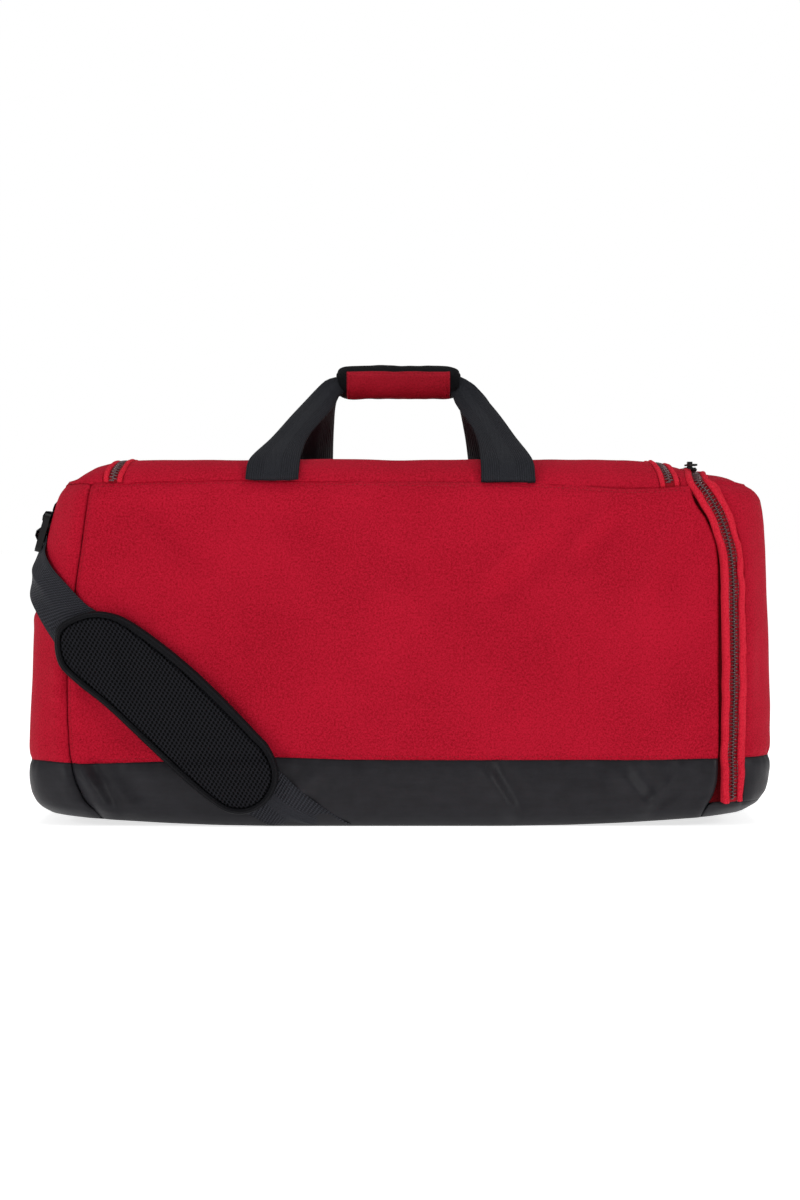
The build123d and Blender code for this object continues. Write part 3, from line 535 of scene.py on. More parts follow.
def side_shape(P, Nn, s):
    """How far the cloth stands off the plain body, at each point."""
    x, y, z = P[..., 0], P[..., 1], P[..., 2]
    face = smooth((np.abs(Nn[..., 1]) - 0.6) / 0.4)
    end = 1 - face
    prof = np.sin(PI * np.clip(z / 0.335, 0, 1)) ** 0.75
    belly = 0.0042 * face * np.clip(np.cos(PI * x / 0.70), 0, 1) ** 0.7 * prof
    d = belly
    d = d + face * 0.0031 * waves(P * [1.15, .4, .85], .16, 3) * prof
    d = d + face * 0.0014 * waves(P * [1.2, .5, .8], .07, 5) * prof
    d = d + face * 0.0003 * waves(P, .03, 6) * prof
    d = d + end * 0.0010 * waves(P, .09, 9) * prof
    near = (Nn[..., 1] < -0.3)
    far = (Nn[..., 1] > 0.3)
    for a, b, dep, wid in NEAR_FOLDS:
        d = d + near * crease(x, z, a, b, dep * 1.9, wid)
    for a, b, dep, wid in FAR_FOLDS:
        d = d + far * crease(x, z, a, b, dep, wid)
    # the coated band is firmer and kicks out a little over the floor
    d = d + 0.0016 * np.exp(-(((z - 0.036) / 0.016) ** 2))
    # the band's seam is drawn in
    zb = BAND_Z(x)
    q = np.abs(z - zb)
    d = d - 0.0017 * np.exp(-((q / 0.0035) ** 2)) + 0.0006 * np.exp(-(((q - 0.012) / 0.008) ** 2))
    # puckers beside the seams
    t = waves(np.stack([s * 1.0, 0 * s], -1), .012, 21, 8)
    d = d + 0.00035 * t * np.exp(-((q / 0.013) ** 2))
    top = np.clip(SEAM_Z(x) - z, 0, 1)
    t2 = waves(np.stack([s * 1.0, 0 * s + .3], -1), .016, 22, 8)
    d = d + 0.00045 * t2 * np.exp(-((top / 0.016) ** 2)) + 0.0012 * np.exp(-(((top - 0.012) / 0.009) ** 2))
    d = d - 0.0010 * np.exp(-((top / 0.003) ** 2))
    # upright seams
    sl = s_of_x(SEAM_L(z), z, True)
    q = np.abs(s - sl)
    t3 = waves(np.stack([z * 1.0, 0 * s], -1), .017, 23, 8)
    d = d - 0.0022 * np.exp(-((q / 0.0034) ** 2)) + (0.0012 + 0.0005 * t3) * np.exp(-(((q - 0.010) / 0.007) ** 2))
    cross = smooth((s - sl - 0.004) / 0.004) * smooth((total(z, True) - sl - 0.004 - s) / 0.004)
    q = np.abs(z - 0.2027)
    d = d + cross * (-0.0016 * np.exp(-((q / 0.0030) ** 2)) + 0.0008 * np.exp(-(((q - 0.009) / 0.006) ** 2)))
    for sr in (-s_of_x(EDGE_X(z), z, False), -(total(z, False) - s_of_x(EDGE_X(z), z, False))):
        q = s - sr if sr.flat[0] > -0.6 else sr - s          # + on the panel's side
        d = d - 0.0016 * np.exp(-((q / 0.0016) ** 2)) + (0.0018 + 0.0007 * t3) * np.exp(-(((q - 0.0060) / 0.0060) ** 2))
    for sr in (-s_of_x(ZIP_X(z) + 0.0108, z, False), -(total(z, False) - s_of_x(ZIP_X(z) + 0.0108, z, False))):
        q = np.abs(s - sr)
        d = d - 0.0010 * np.exp(-((q / 0.0025) ** 2)) + (0.0006 + 0.0004 * t3) * np.exp(-(((q - 0.010) / 0.007) ** 2))
    # the cap's top seam is a deeper fold
    d = d - 0.0019 * smooth((x - 0.284) / 0.010) * np.exp(-(((Z_SEAM - z) / 0.0034) ** 2))
    # the strap and its chape press the far panel flat where they lie on it
    lie = far * smooth((x - 0.115) / 0.03) * smooth((0.290 - x) / 0.02)
    d = d * (1 - lie) + np.minimum(d, 0.0008) * lie
    return d


def side_pt(s, z):
    P, Nn = outline(s, z)
    d = side_shape(P, Nn, np.broadcast_to(s, P.shape[:-1]))
    Q = P + Nn * d[..., None]
    # the ends of the base ride up off the floor
    Q[..., 2] += LIFT(P[..., 0]) * np.clip(1 - z / 0.055, 0, 1) ** 1.3
    return Q


def near_disp(x, z):
    """How far the near face stands off its plain plane at (x, z)."""
    x, z = np.broadcast_arrays(np.asarray(x, float), np.asarray(z, float))
    s = -np.sign(x) * np.where(x < 0, s_of_x(np.abs(x), z, True), s_of_x(np.abs(x), z, False))
    s = np.where(x == 0, 0.0, s)
    P, Nn = outline(s, z)
    return side_shape(P, Nn, s)


# the top: transverse profile over the two shoulders
ARC = 0.035 * math.radians(70)
FLAT = 0.2420
V_ALL = 2 * ARC + FLAT
V_FAR = ARC + FLAT + 0.035 * math.radians(39)


def profile(v):
    v = np.asarray(v, float)
    a = np.clip(v, None, ARC) / 0.035
    b = (np.clip(v, ARC + FLAT, None) - ARC - FLAT) / 0.035
    y = np.where(v < ARC, -0.121 - 0.035 * np.cos(math.radians(20) + a), np.where(v < ARC + FLAT, -0.121 + (v - ARC), 0.121 + 0.035 * np.sin(b)))
    z = np.where(v < ARC, 0.310 + 0.035 * np.sin(math.radians(20) + a), np.where(v < ARC + FLAT, 0.345, 0.310 + 0.035 * np.cos(b)))
    return y, z


END_E = table([(-.320, -.05), (-.310, .065), (-.298, .42), (-.286, .70), (-.270, .87), (-.245, .985), (-.22, 1), (.215, 1), (.235, .93), (.252, .79), (.262, .70), (.270, .56), (.279, .48), (.290, .40), (.302, .34), (.3117, .24), (.3235, 0.0), (.335, -.2)], .006)


def width_at(x):
    X = np.where(x < 0, .3143, .3280)
    ax = np.abs(x)
    e = np.clip(ax - (X - R), 0, R)
    return (0.1539 - R + np.sqrt(R * R - e * e)) / 0.1539


def top_pt(x, v):
    x, v = np.broadcast_arrays(np.asarray(x, float), np.asarray(v, float))
    y, z = profile(v)
    y = y * width_at(x)
    E = END_E(x)
    zz = Z_SEAM + (z - Z_SEAM) * E
    zz = zz + (SEAM_Z(x) - Z_SEAM) * (1 - smooth(v / 0.05))
    P = np.stack([x, y, zz], -1)
    mid = np.sin(PI * np.clip(v / V_ALL, 0, 1)) ** 0.6 * np.clip(E, 0, 1)
    d = mid * (0.0012 * waves(P, .12, 31) + 0.0006 * waves(P, .05, 32))
    d = d - 0.0030 * mid * np.exp(-(((x - 0.02) / 0.20) ** 2)) * np.exp(-(((v - V_ALL / 2) / 0.09) ** 2))
    t = waves(np.stack([x * 1.0, 0 * x + .7], -1), .014, 33, 8)
    e = np.minimum(v, V_ALL - v)
    d = d + 0.0005 * t * np.exp(-((e / 0.012) ** 2)) + 0.0008 * np.exp(-(((e - 0.011) / 0.008) ** 2)) - 0.0012 * np.exp(-((e / 0.003) ** 2))
    d = d - 0.0019 * smooth((x - 0.290) / 0.010) * np.exp(-((e / 0.0034) ** 2))
    P[..., 2] += d
    return P


# =====================================================================
# side panels
# =====================================================================
OUT_S = 1


def side_panel(name, s0, s1, z0, z1, nu, nv, mat, body, node, out=None):
    """s0, s1 give the edges at each height; z0, z1 at each column's x."""
    V = np.linspace(0, 1, nv)[:, None]
    U = np.linspace(0, 1, nu)[None, :]
    zg = z0(0) + (z1(0) - z0(0)) * V + 0 * U
    for _ in range(3):
        s = s0(zg) + (s1(zg) - s0(zg)) * U
        P, _n = outline(s, zg)
        zg = z0(P[..., 0]) + (z1(P[..., 0]) - z0(P[..., 0])) * V
    s = s0(zg) + (s1(zg) - s0(zg)) * U
    Q = side_pt(s, zg)
    UV = np.stack([s, zg], -1)
    ob = grid_object(name, Q, UV, flip=False, skirt=0.006, out=OUT_S)
    dress(ob, mat, body, [node])
    return ob


E = 0.0004
sl_near = lambda z: s_of_x(SEAM_L(z), z, True)
sr_near = lambda z: -s_of_x(EDGE_X(z), z, False)
dr_near = lambda z: -s_of_x(ZIP_X(z) + 0.0108, z, False)


sl_far = lambda z: total(z, True) - s_of_x(SEAM_L(z), z, True)
sr_far = lambda z: -(total(z, False) - s_of_x(EDGE_X(z), z, False))
dr_far = lambda z: -(total(z, False) - s_of_x(ZIP_X(z) + 0.0108, z, False))
mid_l = lambda z: total(z, True)
mid_r = lambda z: -total(z, False)
bz = lambda x: BAND_Z(x)
tz = lambda x: SEAM_Z(x)
fz = lambda x: 0 * x + Z_SEAM
low = lambda x: 0 * x + 0.0
sill = lambda x: 0 * x + 0.0155


side_panel("front_cloth", lambda z: sl_near(z) - E, lambda z: sr_near(z) + E, bz, tz, 300, 124, "red", "bag", "front_panel")
side_panel("left_end_cloth", lambda z: sl_far(z) - E, lambda z: sl_near(z) + E, bz, fz, 190, 110, "red", "bag", "left_end_panel")
side_panel("front_band_cloth", lambda z: sl_near(z) - E, lambda z: sr_near(z) + E, low, bz, 300, 34, "band", "bag", "front_band")
side_panel("left_band_cloth", lambda z: sl_far(z) - E, lambda z: sl_near(z) + E, low, bz, 190, 34, "band", "bag", "left_end_band")


# the back: two halves of the perimeter meet at the far middle, so its own map
def back_panel(name, z0, z1, nu, nv, mat, node):
    V = np.linspace(0, 1, nv)[:, None]
    U = np.linspace(0, 1, nu)[None, :]
    zg = z0(0.0) + (z1(0.0) - z0(0.0)) * V + 0 * U
    for _ in range(3):
        a = total(zg, True) - (sl_far(zg) + E)       # arc from far middle to the left seam
        b = total(zg, False) + (sr_far(zg) + E)
        c = b - (a + b) * U                           # - left, + right of the far middle
        s = np.where(c < 0, total(zg, True) + c, -(total(zg, False) - c))
        P, _n = outline(s, zg)
        zg = z0(P[..., 0]) + (z1(P[..., 0]) - z0(P[..., 0])) * V
    Q = side_pt(s, zg)
    UV = np.stack([c, zg], -1)
    ob = grid_object(name, Q, UV, flip=False, skirt=0.006, out=OUT_S)
    dress(ob, mat, "bag", [node])
    return ob


back_panel("back_cloth", bz, fz, 260, 100, "red", "back_panel")
back_panel("back_band_cloth", low, bz, 260, 30, "band", "back_band")


# end door: from the zip's outer welt on the near side, round the end, to the far side
def near_to_far_right(z0, z1, nu, nv, name, mat, node, body="end_door", zfix=None):
    V = np.linspace(0, 1, nv)[:, None]
    U = np.linspace(0, 1, nu)[None, :]
    zg = z0(0.33) + (z1(0.33) - z0(0.33)) * V + 0 * U
    for _ in range(3):
        s = dr_near(zg) + (dr_far(zg) - dr_near(zg)) * U
        P, _n = outline(s, zg)
        zg = z0(P[..., 0]) + (z1(P[..., 0]) - z0(P[..., 0])) * V
    s = dr_near(zg) + (dr_far(zg) - dr_near(zg)) * U
    Q = side_pt(s, zg)
    UV = np.stack([s, zg], -1)
    ob = grid_object(name, Q, UV, flip=False, skirt=0.006, out=OUT_S)
    dress(ob, mat, body, [node] if node else [])
    return ob


near_to_far_right(bz, fz, 190, 110, "end_door_cloth", "red", "end_door_panel")
near_to_far_right(sill, bz, 190, 26, "end_door_band_cloth", "band", "end_door_band")


def sill_band():
    nu, nv = 230, 10
    V = np.linspace(0, 1, nv)[:, None]
    U = np.linspace(0, 1, nu)[None, :]
    zg = 0.0 + 0.0150 * V + 0 * U
    s = (sr_near(zg) - E) + ((sr_far(zg) + E) - (sr_near(zg) - E)) * U
    Q = side_pt(s, zg)
    ob = grid_object("end_sill_cloth", Q, np.stack([s, zg], -1), flip=False, skirt=0.004, out=OUT_S)
    dress(ob, "band", "bag", ["end_sill"])


sill_band()


def hinge_flap():
    """The cloth that folds where the end door lies down, under the sill's edge."""
    yv = np.linspace(-0.112, 0.112, 90)[None, :]
    zv = np.linspace(0.0075, 0.0400, 16)[:, None]
    zg = zv + 0 * yv
    X, hy, L1, L2, L3, L4 = lengths(zg, False)
    s = -(L2 + (yv + hy - R))
    Q = side_pt(s, zg)
    _p, Nn = outline(s, zg)
    Q = Q - Nn * 0.0016
    ob = grid_object("end_hinge_cloth", Q, np.stack([yv + 0 * zg, zg], -1))
    dress(ob, "band", None)
    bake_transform(ob)
    return ob


flap = hinge_flap()

# base: nested loops shrinking from the bottom outline to the middle line
def base():
    n = 360
    z0 = 0.0
    TL, TR = float(total(z0, True)), float(total(z0, False))
    c = np.concatenate([np.linspace(0, TL, n // 2, endpoint=False), np.linspace(-TR, 0, n // 2, endpoint=False)])
    ring = side_pt(c, 0 * c)
    loops = []
    ks = np.linspace(0, 1, 26)
    for k in ks:
        L = ring.copy()
        L[:, 1] = ring[:, 1] * (1 - k)
        L[:, 0] = np.sign(ring[:, 0]) * np.maximum(np.abs(ring[:, 0]) - 0.145 * k, 0) * 1.0
        zz = ring[:, 2] * (1 - smooth(k / 0.45))
        L[:, 2] = np.maximum(zz, 0.0002) + 0.0015 * np.clip(k * 6, 0, 1) * 0
        loops.append(L)
    P = np.stack(loops)
    ob = make_mesh("base_cloth", P.reshape(-1, 3), grid_faces(n, len(ks), close_u=True), P[..., :2].reshape(-1, 2))
    dress(ob, "band", "bag", ["base_panel"])
    return ob


base()

# =====================================================================
# top panels and the lid
# =====================================================================
LX0 = lambda v: -0.2690 + 0.0095 * smooth(v / 0.05)
LX1 = lambda v: 0.2540 - 0.0090 * smooth(v / 0.05)


def lid_edges(v, off):
    """Left and right edge of the lid zip's U at each v, moved inwards by off."""
    r = max(0.045 - off, 0.006)
    v1 = V_FAR - off
    e = np.clip(v - (v1 - r), 0, r)
    pull_in = r - np.sqrt(np.maximum(r * r - e * e, 0))
    return LX0(v) + off + pull_in, LX1(v) - off - pull_in


def lid_panel():
    nu, nv = 240, 120
    off = 0.0100
    t = np.linspace(0, 1, nv)
    t = t + 0.10 * np.sin(PI * t) * t          # rows closer together at the far corners
    v = (V_FAR - off) * t[:, None] / t[-1]
    x0, x1 = lid_edges(v, off)
    U = np.linspace(0, 1, nu)[None, :]
    x = x0 + (x1 - x0) * U
    P = top_pt(x, v + 0.0006)
    ob = grid_object("lid_cloth", P, np.stack([x, v + 0 * x], -1), skirt=0.005, out=1)
    dress(ob, "red", "lid", ["lid_panel"])


def strip_top(name, xa, xb, node, nu=24, nv=130, v1=V_ALL):
    v = np.linspace(0.0006, v1 - 0.0004, nv)[:, None]
    U = np.linspace(0, 1, nu)[None, :]
    x = xa(v) + (xb(v) - xa(v)) * U
    P = top_pt(x, v + 0 * x)
    ob = grid_object(name, P, np.stack([x, v + 0 * x], -1), skirt=0.005, out=1)
    dress(ob, "red", "bag" if node != "door" else "end_door", [node] if node not in (None, "door") else [])
    return ob


lid_panel()


def u_left(v):
    x0, x1 = lid_edges(v, -0.0100)
    return np.minimum(x0, -0.15)


def u_right(v):
    x0, x1 = lid_edges(v, -0.0100)
    return np.maximum(x1, 0.15)


strip_top("left_top_cloth", lambda v: -0.3139 + 0 * v, u_left, "left_top_strip", nu=40, v1=V_ALL)
strip_top("right_top_cloth", u_right, lambda v: 0 * v + 0.2722, "right_top_strip", nu=16, v1=V_ALL)
v_ = np.linspace(V_FAR + 0.0095, V_ALL - 0.0004, 14)[:, None]
x_ = -0.2145 + 0.4145 * np.linspace(0, 1, 200)[None, :] + 0 * v_
far_top = grid_object("far_top_cloth", top_pt(x_, v_ + 0 * x_), np.stack([x_, v_ + 0 * x_], -1), skirt=0.003, out=1)
dress(far_top, "red", "bag")
strip_top("end_door_top_cloth", lambda v: 0 * v + 0.2900, lambda v: 0 * v + 0.3276, "door", nu=26)

# =====================================================================
# zips: path on the surface, then tape, welts and teeth swept along it
# =====================================================================
def frame_along(P, N):
    T = np.gradient(P, axis=0)
    T /= np.linalg.norm(T, axis=1, keepdims=True)
    N = N - (N * T).sum(1, keepdims=True) * T
    N /= np.linalg.norm(N, axis=1, keepdims=True)
    B = np.cross(T, N)
    return T, N, B


def even(P, step):
    d = np.r_[0, np.cumsum(np.linalg.norm(np.diff(P, axis=0), axis=1))]
    n = max(4, int(d[-1] / step))
    w = np.linspace(0, d[-1], n)
    return np.stack([np.interp(w, d, P[:, k]) for k in range(P.shape[1])], 1), d[-1]


def blurred(P, w):
    k = np.hanning(2 * w + 3)[1:-1]
    k /= k.sum()
    ext = np.concatenate([2 * P[:1] - P[w:0:-1], P, 2 * P[-1:] - P[-2:-w - 2:-1]])
    return np.stack([np.convolve(ext[:, i], k, "valid") for i in range(P.shape[1])], 1)


def lid_path():
    r = 0.045
    pts = []
    for v in np.linspace(-0.0005, V_FAR - r, 120):
        pts.append((float(LX0(v)), v))
    for a in np.linspace(0, PI / 2, 24)[1:]:
        pts.append((float(LX0(V_FAR)) + r - r * math.cos(a), V_FAR - r + r * math.sin(a)))
    for x in np.linspace(float(LX0(V_FAR)) + r, float(LX1(V_FAR)) - r, 160)[1:]:
        pts.append((x, V_FAR))
    for a in np.linspace(PI / 2, 0, 24)[1:]:
        pts.append((float(LX1(V_FAR)) - r + r * math.cos(a), V_FAR - r + r * math.sin(a)))
    for v in np.linspace(V_FAR - r, -0.0005, 120)[1:]:
        pts.append((float(LX1(v)), v))
    q = np.array(pts)
    h = 0.0015
    P = top_pt(q[:, 0], q[:, 1])
    N = np.cross(top_pt(q[:, 0] + h, q[:, 1]) - top_pt(q[:, 0] - h, q[:, 1]), top_pt(q[:, 0], q[:, 1] + h) - top_pt(q[:, 0], np.maximum(q[:, 1] - h, 0)))
    N /= np.linalg.norm(N, axis=1, keepdims=True)
    return P, N


def end_path():
    P, N = [], []
    z = np.linspace(0.0165, float(SEAM_Z(.2835)) - 0.001, 150)
    s = -s_of_x(ZIP_X(z), z, False)
    rise = np.stack([0 * z, 0 * z, 0.35 * np.clip((z - 0.30) / 0.022, 0, None)], 1)
    P += list(side_pt(s, z))
    N += list(outline(s, z)[1] + rise)
    for v in np.linspace(0.002, V_ALL - 0.002, 160):
        p = top_pt(0.2795, v)
        P.append(p)
        n = np.cross(top_pt(.2815, v) - top_pt(.2775, v), top_pt(.2795, min(v + .002, V_ALL)) - top_pt(.2795, max(v - .002, 0)))
        N.append(n / np.linalg.norm(n))
    z = np.linspace(Z_SEAM - 0.001, 0.0165, 150)
    s = -(total(z, False) - s_of_x(ZIP_X(z), z, False))
    rise = np.stack([0 * z, 0 * z, 0.35 * np.clip((z - 0.30) / 0.022, 0, None)], 1)
    P += list(side_pt(s, z))
    N += list(outline(s, z)[1] + rise)
    return np.array(P), np.array(N)


def sweep(name, P, N, profile_pts, side, mat, body, replaced=(), wobble=0.0, seed=1, extra=None, dive=0.0):
    """Sweeps a cross-section (offset, height) beside a path. side is +1 or -1."""
    T, N, B = frame_along(P, N)
    prof = np.array(profile_pts)
    d = np.r_[0, np.cumsum(np.linalg.norm(np.diff(P, axis=0), axis=1))]
    rows = []
    w = waves(np.stack([d, 0 * d], -1), .03, seed, 8) * wobble
    w2 = waves(np.stack([d, 0 * d + 1], -1), .014, seed + 7, 8) * wobble * 0.6
    lift = np.linalg.norm(np.diff(prof, axis=0), axis=1)
    keep = smooth((np.minimum(d, d[-1] - d) - 0.0004) / dive)[:, None] if dive else 1.0
    across = np.r_[0, np.cumsum(lift)]
    for k, (o, h) in enumerate(prof):
        f = 1.0 if 0 < k < len(prof) - 1 else 0.3
        far_out = 0.0 if extra is None else extra[:, None] * float(np.clip((k - len(prof) + 5) / 4.0, 0, 1))
        rows.append(P + B * (side * (o + w[:, None] * f + far_out)) + N * ((h + (w2[:, None]) * f) * keep - 0.0032 * (1 - keep)))
    G = np.stack(rows, 1)
    UV = np.stack([np.broadcast_to(across, (len(P), len(prof))), np.broadcast_to(d[:, None], (len(P), len(prof)))], -1)
    ob = grid_object(name, G, UV, flip=(side < 0))
    dress(ob, mat, body, replaced)
    return ob


def teeth(name, P, N, side, mat, body, replaced, pitch=0.0034):
    T, N, B = frame_along(P, N)
    d = np.r_[0, np.cumsum(np.linalg.norm(np.diff(P, axis=0), axis=1))]
    n = int((d[-1] - 0.0080) / pitch)
    where = 0.0035 + (np.arange(n) + (0.5 if side > 0 else 0.0)) * pitch
    at = lambda A: np.stack([np.interp(where, d, A[:, k]) for k in range(3)], 1)
    p, t, nn, b = at(P), at(T), at(N), at(B) * side
    sec = [(-0.0010, 0.0003), (-0.0007, 0.0011), (0.0004, 0.0015), (0.0020, 0.0014), (0.0033, 0.0010), (0.0039, 0.0001)]
    half = [0.00052, 0.00092, 0.00084, 0.00046, 0.00048, 0.00034]
    m = len(sec)
    rows = []
    for (o, h), w in zip(sec, half):
        c = p + b * o
        low = c + nn * (h * 0.35 - 0.0004)
        high = c + nn * h
        rows.append(np.stack([low - t * w, high - t * w * 0.55, high + t * w * 0.55, low + t * w], 1))
    V = np.concatenate(rows, 1).reshape(-1, 3)
    one = []
    for k in range(m - 1):
        for j in range(3):
            a = 4 * k + j
            one.append((a, a + 1, a + 5, a + 4))
    e = 4 * (m - 1)
    one += [(0, 1, 2, 3), (e + 3, e + 2, e + 1, e)]
    F = (np.array(one)[None] + (np.arange(n) * 4 * m)[:, None, None]).reshape(-1, 4)
    uv = np.zeros((len(V), 2))
    ob = make_mesh(name, V, F, uv)
    dress(ob, mat, body, replaced)
    return ob


def roll(a, b, top, tail):
    """A folded edge: a round roll from offset a to b, then a tail of points."""
    pts = [(a + 0.0016, -0.0030)]
    for t in np.linspace(-0.35, 1.12, 13) * PI:
        pts.append(((a + b) / 2 - (b - a) / 2 * math.cos(t), top * math.sin(t) * (1.0 if math.sin(t) > 0 else 1.3)))
    return pts + tail


LID_WELT = roll(0.0043, 0.0092, 0.0021, [(0.0093, -0.0016), (0.0100, -0.0017), (0.0108, -0.0020), (0.0124, -0.0032)])
DOOR_WELT = roll(0.0044, 0.0102, 0.0027, [(0.0105, -0.0019), (0.0114, -0.0022), (0.0130, -0.0034)])
BODY_WELT = roll(0.0044, 0.0108, 0.0028, [(0.0110, -0.0036), (0.0108, -0.0052)])
# profile of the dark strip that stands for the shaded recess beside the end zip
RECESS_SHADE_PROFILE = [(0.0100, -0.0040), (0.0108, -0.0052), (0.0118, -0.0058), (0.0135, -0.0060), (0.0160, -0.0060)]
TAPE = [(-0.0001, -0.0007), (0.0008, -0.0005), (0.0030, -0.0005), (0.0046, -0.0005), (0.0062, -0.0016)]

P, N = lid_path()
P, _len = even(P, 0.0016)
_n, _ = lid_path()[1], None
P0, N0 = lid_path()
d0 = np.r_[0, np.cumsum(np.linalg.norm(np.diff(P0, axis=0), axis=1))]
w = np.linspace(0, d0[-1], len(P))
N = np.stack([np.interp(w, d0, N0[:, k]) for k in range(3)], 1)
P, N = blurred(P, 4), blurred(N, 4)
# side +1 is to the right of travel: outside the U on the way up the left run?
T_, N_, B_ = frame_along(P, N)
INS = 1 if B_[20][0] > 0 else -1          # the side that faces the lid
sweep("lid_welt_moving", P, N, LID_WELT, INS, "welt", "lid", ["lid_welt"], 0.0006, 3, dive=0.0055)
sweep("lid_welt_fixed", P, N, LID_WELT, -INS, "welt", "bag", ["top_welt"], 0.0006, 5, dive=0.0055)
sweep("lid_tape_moving", P, N, TAPE, INS, "tape", "lid", ["lid_zip_tape_moving"], dive=0.0055)
sweep("lid_tape_fixed", P, N, TAPE, -INS, "tape", "bag", ["lid_zip_tape_fixed"], dive=0.0055)
teeth("lid_teeth_moving", P, N, INS, "teeth", "lid", ["lid_zip_teeth_moving"])
teeth("lid_teeth_fixed", P, N, -INS, "teeth", "bag", ["lid_zip_teeth_fixed"])

P0, N0 = end_path()
d0 = np.r_[0, np.cumsum(np.linalg.norm(np.diff(P0, axis=0), axis=1))]
P, _len = even(P0, 0.0016)
w = np.linspace(0, d0[-1], len(P))
N = np.stack([np.interp(w, d0, N0[:, k]) for k in range(3)], 1)
P, N = blurred(P, 9), blurred(N, 9)
T_, N_, B_ = frame_along(P, N)
INS = 1 if B_[20][0] > 0 else -1          # the side that faces the door
END_P, END_N, END_INS = P, N, INS
sweep("end_welt_door", P, N, DOOR_WELT, INS, "welt", "end_door", ["end_welt_moving"], 0.0007, 7)
# the strip behind the rolled edge reaches to the front panel, which stands
# further off where the zip leans towards the crest
_gap = np.array([max(0.0, float(ZIP_X(p[2]) - EDGE_X(p[2])) - 0.0125) if abs(p[1]) > 0.10 and p[2] < 0.3245 else 0.0 for p in P])
_gap = np.convolve(np.pad(_gap, 6, mode="edge"), np.hanning(13) / np.hanning(13).sum(), "valid")
sweep("end_welt_body", P, N, BODY_WELT, -INS, "welt", "bag", ["end_welt_fixed"], 0.0007, 9)
# the strip's near-black red is painted shade in the recess beside the end zip
sweep("end_recess_strip", P, N, RECESS_SHADE_PROFILE, -INS, "recess_painted_shade", "bag", (), 0.0, 9, extra=_gap)
sweep("end_tape_door", P, N, TAPE, INS, "tape", "end_door", ["end_zip_tape_moving"])
sweep("end_tape_body", P, N, TAPE, -INS, "tape", "bag", ["end_zip_tape_fixed"])
teeth("end_teeth_door", P, N, INS, "teeth", "end_door", ["end_zip_teeth_moving"])
teeth("end_teeth_body", P, N, -INS, "teeth", "bag", ["end_zip_teeth_fixed"])

# =====================================================================
# webbing strips
# =====================================================================
def band_mesh(name, rows, thick, mat, body, replaced=(), crown=0.0, across=9, along=None, uv_width=None):
    """A strip through rows of points across its width, with real thickness
    and rounded selvedges. rows: (n, m, 3)."""
    rows = np.asarray(rows, float)
    L = rows.mean(axis=1)
    length = np.linalg.norm(np.diff(L, axis=0), axis=1).sum()
    n = along or max(8, int(length / 0.004))
    C = smooth_path(rows, n)
    u = np.linspace(0, 1, rows.shape[1])
    w = np.linspace(0, 1, across)
    G = np.stack([np.stack([np.interp(w, u, C[i, :, k]) for k in range(3)], 1) for i in range(n)])
    Nn = normals_of(G)
    prof = 1 - (2 * w - 1) ** 8
    G = G + Nn * (crown * (1 - (2 * w - 1) ** 2))[None, :, None]
    half = thick / 2 * (0.35 + 0.65 * prof)
    top = G + Nn * half[None, :, None]
    bot = G - Nn * half[None, :, None]
    ring = np.concatenate([top, bot[:, ::-1]], 1)
    d = np.r_[0, np.cumsum(np.linalg.norm(np.diff(G.mean(1), axis=0), axis=1))]
    wid = uv_width or float(np.linalg.norm(np.diff(G, axis=1), axis=2).sum(1).mean())
    uu = np.concatenate([w * wid, w[::-1] * wid])
    UV = np.stack([np.broadcast_to(uu, (n, 2 * across)), np.broadcast_to(d[:, None], (n, 2 * across))], -1)
    m = 2 * across
    F = grid_faces(m, n, close_u=True)
    F.append(tuple(range(m))[::-1])
    F.append(tuple((n - 1) * m + i for i in range(m)))
    ob = make_mesh(name, ring.reshape(-1, 3), F, UV.reshape(-1, 2))
    if mat:
        dress(ob, mat, body, replaced)
    return ob, d[-1], wid


def joined(name, parts):
    bpy.ops.object.select_all(action="DESELECT")
    for o in parts:
        o.select_set(True)
    bpy.context.view_layer.objects.active = parts[0]
    bpy.ops.object.join()
    parts[0].name = name
    parts[0].data.name = name
    return parts[0]


def leg(outer, inner, yfun, name, tail_z=None):
    a = np.array([(x, yfun(z, x), z) for x, z in outer])
    b = np.array([(x, yfun(z, x), z) for x, z in inner])
    rows = np.stack([a, (a + b) / 2, b], 1)
    return band_mesh(name, rows, 0.0024, None, None, crown=0.0012, across=11, uv_width=0.050)[0]


GZ = 0.0056      # the grip stands this much higher than its CAD stand-in
near_y = table([(.318, -.1520), (.3235, -.1535), (.3275, -.1566), (.334, -.1570), (.345, -.1470), (.362, -.1130), (.380, -.0740), (.394, -.0420), (.402, -.0260), (.412, -.0170), (.432, -.0130), (.45, -.012)], .003)
far_y = table([(.300, .1640), (.323, .1620), (.345, .1550), (.362, .1240), (.380, .0840), (.394, .0480), (.402, .0290), (.412, .0180), (.432, .0130), (.45, .012)], .006)
up = lambda z: z + GZ * float(smooth((z - 0.35) / 0.05))
outer_l = [(-.1445, .3262), (-.1440, .3310), (-.1405, .3460), (-.1215, .3650), (-.1035, .3845), (-.0905, .3990), (-.0790, .4120), (-.0705, .4192), (-.0570, .4225), (-.0300, .4240)]
inner_l = [(-.0945, .3262), (-.0944, .3310), (-.0925, .3500), (-.0867, .3660), (-.0765, .3780), (-.0655, .3905), (-.0605, .3985), (-.0580, .4035), (-.0500, .4080), (-.0300, .4090)]
outer_r = [(.1275, .3232), (.1272, .3285), (.1248, .3450), (.1100, .3660), (.0990, .3810), (.0900, .3925), (.0790, .4060), (.0700, .4160), (.0560, .4230), (.0300, .4240)]
inner_r = [(.0765, .3236), (.0765, .3290), (.0760, .3450), (.0742, .3620), (.0690, .3745), (.0600, .3865), (.0540, .3960), (.0515, .4025), (.0460, .4080), (.0300, .4090)]
lift = lambda pts: [(x, up(z)) for x, z in pts]
ny = lambda z, x: float(near_y(z - GZ * float(smooth((z - 0.35) / 0.05))))
